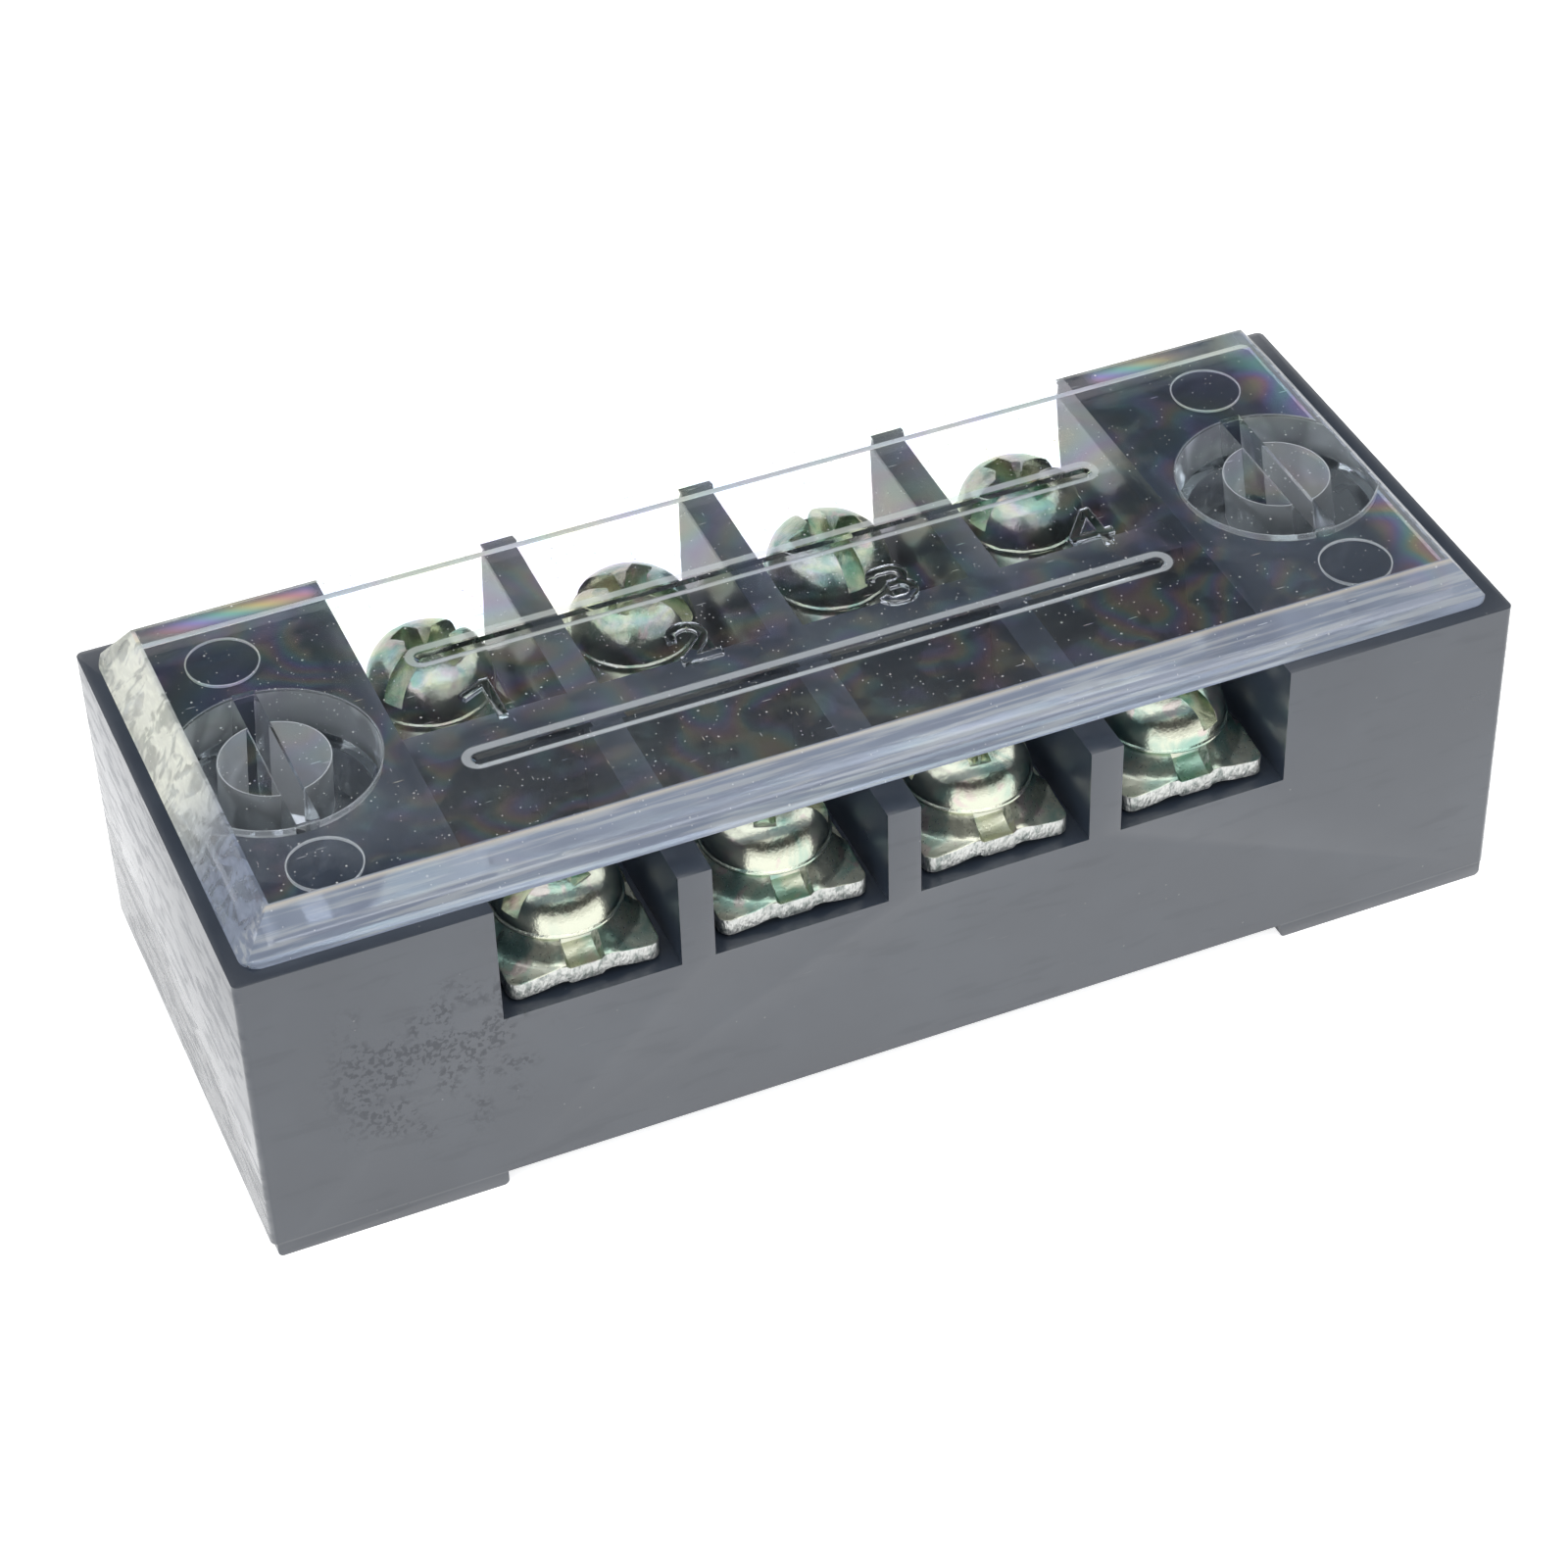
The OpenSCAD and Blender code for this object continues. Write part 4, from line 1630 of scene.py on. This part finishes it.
@dataclass
class Terminals:
    """The eight clamp washers and screws."""

    washer: ClampWasher = field(default_factory=ClampWasher)
    screw: TerminalScrew = field(default_factory=TerminalScrew)
    head_h: float = 1.9
    turns_deg: dict[Row, list[float]] = field(
        default_factory=lambda: {Row.FRONT: [25, -20, -3, -66], Row.REAR: [35, -40, -84, 20]}
    )

    def build(self, zinc: list[Material], sheared: Material) -> None:
        """Set a washer and a screw in each pocket.

        Args:
            zinc: The finish of the screws and that of the washers.
            sheared: The finish of the washers' cut rims.
        """
        washer, screw = self.washer.build(), self.screw.build()
        for row, turns in self.turns_deg.items():
            for pole, turn_deg in enumerate(turns, 1):
                self.set_washer(washer.copy(), f"{row.value}_{pole}", [zinc[1], sheared])
                self.set_screw(screw.copy(), f"screw_{row.value}_{pole}", turn_deg, zinc[0])
        washer.free()
        screw.free()

    @staticmethod
    def set_washer(mesh: Mesh, spot: str, materials: list[Material]) -> None:
        """Move one washer to its pocket.

        Args:
            mesh: The washer's mesh.
            spot: Its row and pole.
            materials: Its finishes.
        """
        node = f"clamp_washer_{spot}"
        low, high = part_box(node)
        seated = moved(mesh, Vector(((low.x + high.x) / 2, (low.y + high.y) / 2, low.z)))
        finish_piece(f"washer_{spot}", seated, materials, node, node)

    def set_screw(self, mesh: Mesh, node: str, turn_deg: float, material: Material) -> None:
        """Turn one screw as it was left and move it to its pocket.

        Args:
            mesh: The screw's mesh.
            node: Its CAD node.
            turn_deg: The direction of its slot from the row.
            material: Its finish.
        """
        low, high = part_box(node)
        turned = Matrix.Rotation(math.radians(turn_deg), 3, "Z")
        bmesh.ops.rotate(mesh, verts=mesh.verts, cent=ORIGIN, matrix=turned)
        seated = moved(mesh, Vector(((low.x + high.x) / 2, (low.y + high.y) / 2, high.z - self.head_h * MM)))
        finish_piece(f"terminal_{node}", seated, [material], node, node)


# Studio


@dataclass(frozen=True)
class Softbox:
    """A square lamp that faces the strip."""

    name: str
    azimuth_deg: float
    elevation_deg: float
    distance: float
    size: float
    level: float
    mirrored: bool = False

    def build(self, aim: Vector) -> None:
        """Hang the lamp.

        Args:
            aim: The point that it faces, in metres.
        """
        azimuth, elevation = math.radians(self.azimuth_deg), math.radians(self.elevation_deg)
        away = Vector(
            (
                math.cos(elevation) * math.sin(azimuth),
                -math.cos(elevation) * math.cos(azimuth),
                math.sin(elevation),
            )
        )
        light = bpy.data.lights.new(self.name, "AREA")
        light.shape = "SQUARE"
        light.size = self.size
        light.energy = self.level * (math.pi * self.distance) ** 2
        lamp = bpy.data.objects.new(self.name, light)
        lamp.visible_glossy = self.mirrored
        lamp.location = aim + away * self.distance
        lamp.rotation_euler = away.to_track_quat("Z", "Y").to_euler()
        bpy.context.scene.collection.objects.link(lamp)


@dataclass
class Studio:
    """The pale floor, the soft light and the camera."""

    eye: Vector = field(default_factory=lambda: place(-48.929, -120.546, 118.546))
    aim: Vector = field(default_factory=lambda: place(-1.2824, -1.5128, 8.0))
    roll_deg: float = -1.8408
    focal_mm: float = 92.831
    sensor_mm: float = 36.0
    clip_m: Span = (0.001, 10)
    floor_size: float = 3.0
    floor_cells: int = 8
    floor_colour: Colour = (0.85, 0.86, 0.87)
    ambient: float = 0.32
    dark_way: Colour = (0.25, 0.60, 0.76)
    dark_way_edge: Span = (0.96, 0.84)
    dark_band: tuple[Span, Span] = ((0.22, 0.40), (0.74, 0.86))
    dark_front: Span = (0.35, 0)
    dark_level: float = 0.06
    glow_glossy: float = 0.55
    glow_through: float = 0.55
    glow_camera: float = 0.75
    most_bounces: int = 9
    glossy_bounces: int = 5
    diffuse_bounces: int = 2
    softboxes: tuple[Softbox, ...] = (
        Softbox("top_softbox", 0, 88, 0.6, 0.6, 0.25, True),
        Softbox("left_softbox", -68, 30, 0.6, 0.7, 0.52),
        Softbox("front_softbox", 36, 26, 0.6, 0.8, 0.42),
        Softbox("right_softbox", 95, 35, 0.6, 0.5, 0.20),
    )

    def build(self) -> None:
        """Set up the floor, the world, the lamps and the camera."""
        self.lay_floor()
        self.light_world()
        for softbox in self.softboxes:
            softbox.build(self.aim)
        self.set_camera()
        self.set_view()

    def lay_floor(self) -> None:
        """Lay a pale floor that shows white and keeps a faint shadow."""
        mesh = bmesh.new()
        cells = self.floor_cells
        bmesh.ops.create_grid(mesh, x_segments=cells, y_segments=cells, size=self.floor_size / 2)
        floor = as_object("studio_floor", mesh)
        material, graph = new_material("floor_white")
        diffuse = graph.node("ShaderNodeBsdfDiffuse", None, {"Color": self.floor_colour})
        path = graph.node("ShaderNodeLightPath")
        kinds = {
            "Is Glossy Ray": self.glow_glossy,
            "Is Transmission Ray": self.glow_through,
            "Is Camera Ray": self.glow_camera,
        }
        strength = sum((Value(graph, path.outputs[kind]) * level for kind, level in kinds.items()), 0.0)
        glow = graph.node("ShaderNodeEmission", None, {"Color": WHITE, "Strength": strength})
        both = graph.node("ShaderNodeAddShader", None, {0: diffuse.outputs[0], 1: glow.outputs[0]})
        graph.surface(both.outputs[0])
        floor.data.materials.append(material)

    def light_world(self) -> None:
        """Make the room white to the camera, and dark overhead and round the camera in reflections."""
        world = bpy.data.worlds.new("studio_world")
        world.use_nodes = True
        bpy.context.scene.world = world
        graph = Graph(world.node_tree)
        ways = graph.axes(graph.node("ShaderNodeTexCoord").outputs["Generated"])
        toward = sum((way * part for way, part in zip(ways, self.dark_way)), 0.0)
        (low, full_low), (full_high, high) = self.dark_band
        band = ways[2].between(low, full_low) * ways[2].between(high, full_high)
        bright = toward.between(*self.dark_way_edge) * (1 - band * ways[1].between(*self.dark_front))
        path = graph.node("ShaderNodeLightPath")
        camera = Value(graph, path.outputs["Is Camera Ray"])
        seen = Value(graph, path.outputs["Is Glossy Ray"]).most(path.outputs["Is Transmission Ray"])
        room = seen * (bright * (1 - self.dark_level) + self.dark_level)
        level = camera.most(room + (1 - seen) * self.ambient)
        glow = graph.node("ShaderNodeBackground", None, {"Color": WHITE, "Strength": level})
        graph.surface(glow.outputs[0], world=True)

    def set_camera(self) -> None:
        """Stand the camera where the photograph was taken from."""
        forward = (self.aim - self.eye).normalized()
        level_right = forward.cross(Vector(UP)).normalized()
        level_up = level_right.cross(forward)
        roll = math.radians(self.roll_deg)
        right = level_right * math.cos(roll) + level_up * math.sin(roll)
        up = right.cross(forward)
        turn = Matrix((right, up, -forward)).transposed().to_4x4()
        data = bpy.data.cameras.new("photo_camera")
        data.lens = self.focal_mm
        data.sensor_width = self.sensor_mm
        data.clip_start, data.clip_end = self.clip_m
        camera = bpy.data.objects.new("photo_camera", data)
        camera.matrix_world = Matrix.Translation(self.eye) @ turn
        bpy.context.scene.collection.objects.link(camera)
        bpy.context.scene.camera = camera

    def set_view(self) -> None:
        """Keep colours as they are written, and let light cross the clear cover many times."""
        scene = bpy.context.scene
        scene.view_settings.view_transform = "Standard"
        scene.cycles.max_bounces = self.most_bounces
        scene.cycles.glossy_bounces = self.glossy_bounces
        scene.cycles.transmission_bounces = self.most_bounces
        scene.cycles.diffuse_bounces = self.diffuse_bounces


def main() -> None:
    """Build the studio and dress every piece."""
    logging.basicConfig(level=logging.INFO, format="%(name)s: %(message)s")
    Studio().build()
    Housing().build(BasePlastic().material())
    Cover().build(ClearPlastic().material())
    ContactBars().dress(PlatedBrass().material())
    zinc = [ZincPlate("screw_zinc"), ZincPlate("washer_zinc", roughness=0.30)]
    Terminals().build([finish.material() for finish in zinc], ShearedEdge().material())


if __name__ == "__main__":
    main()
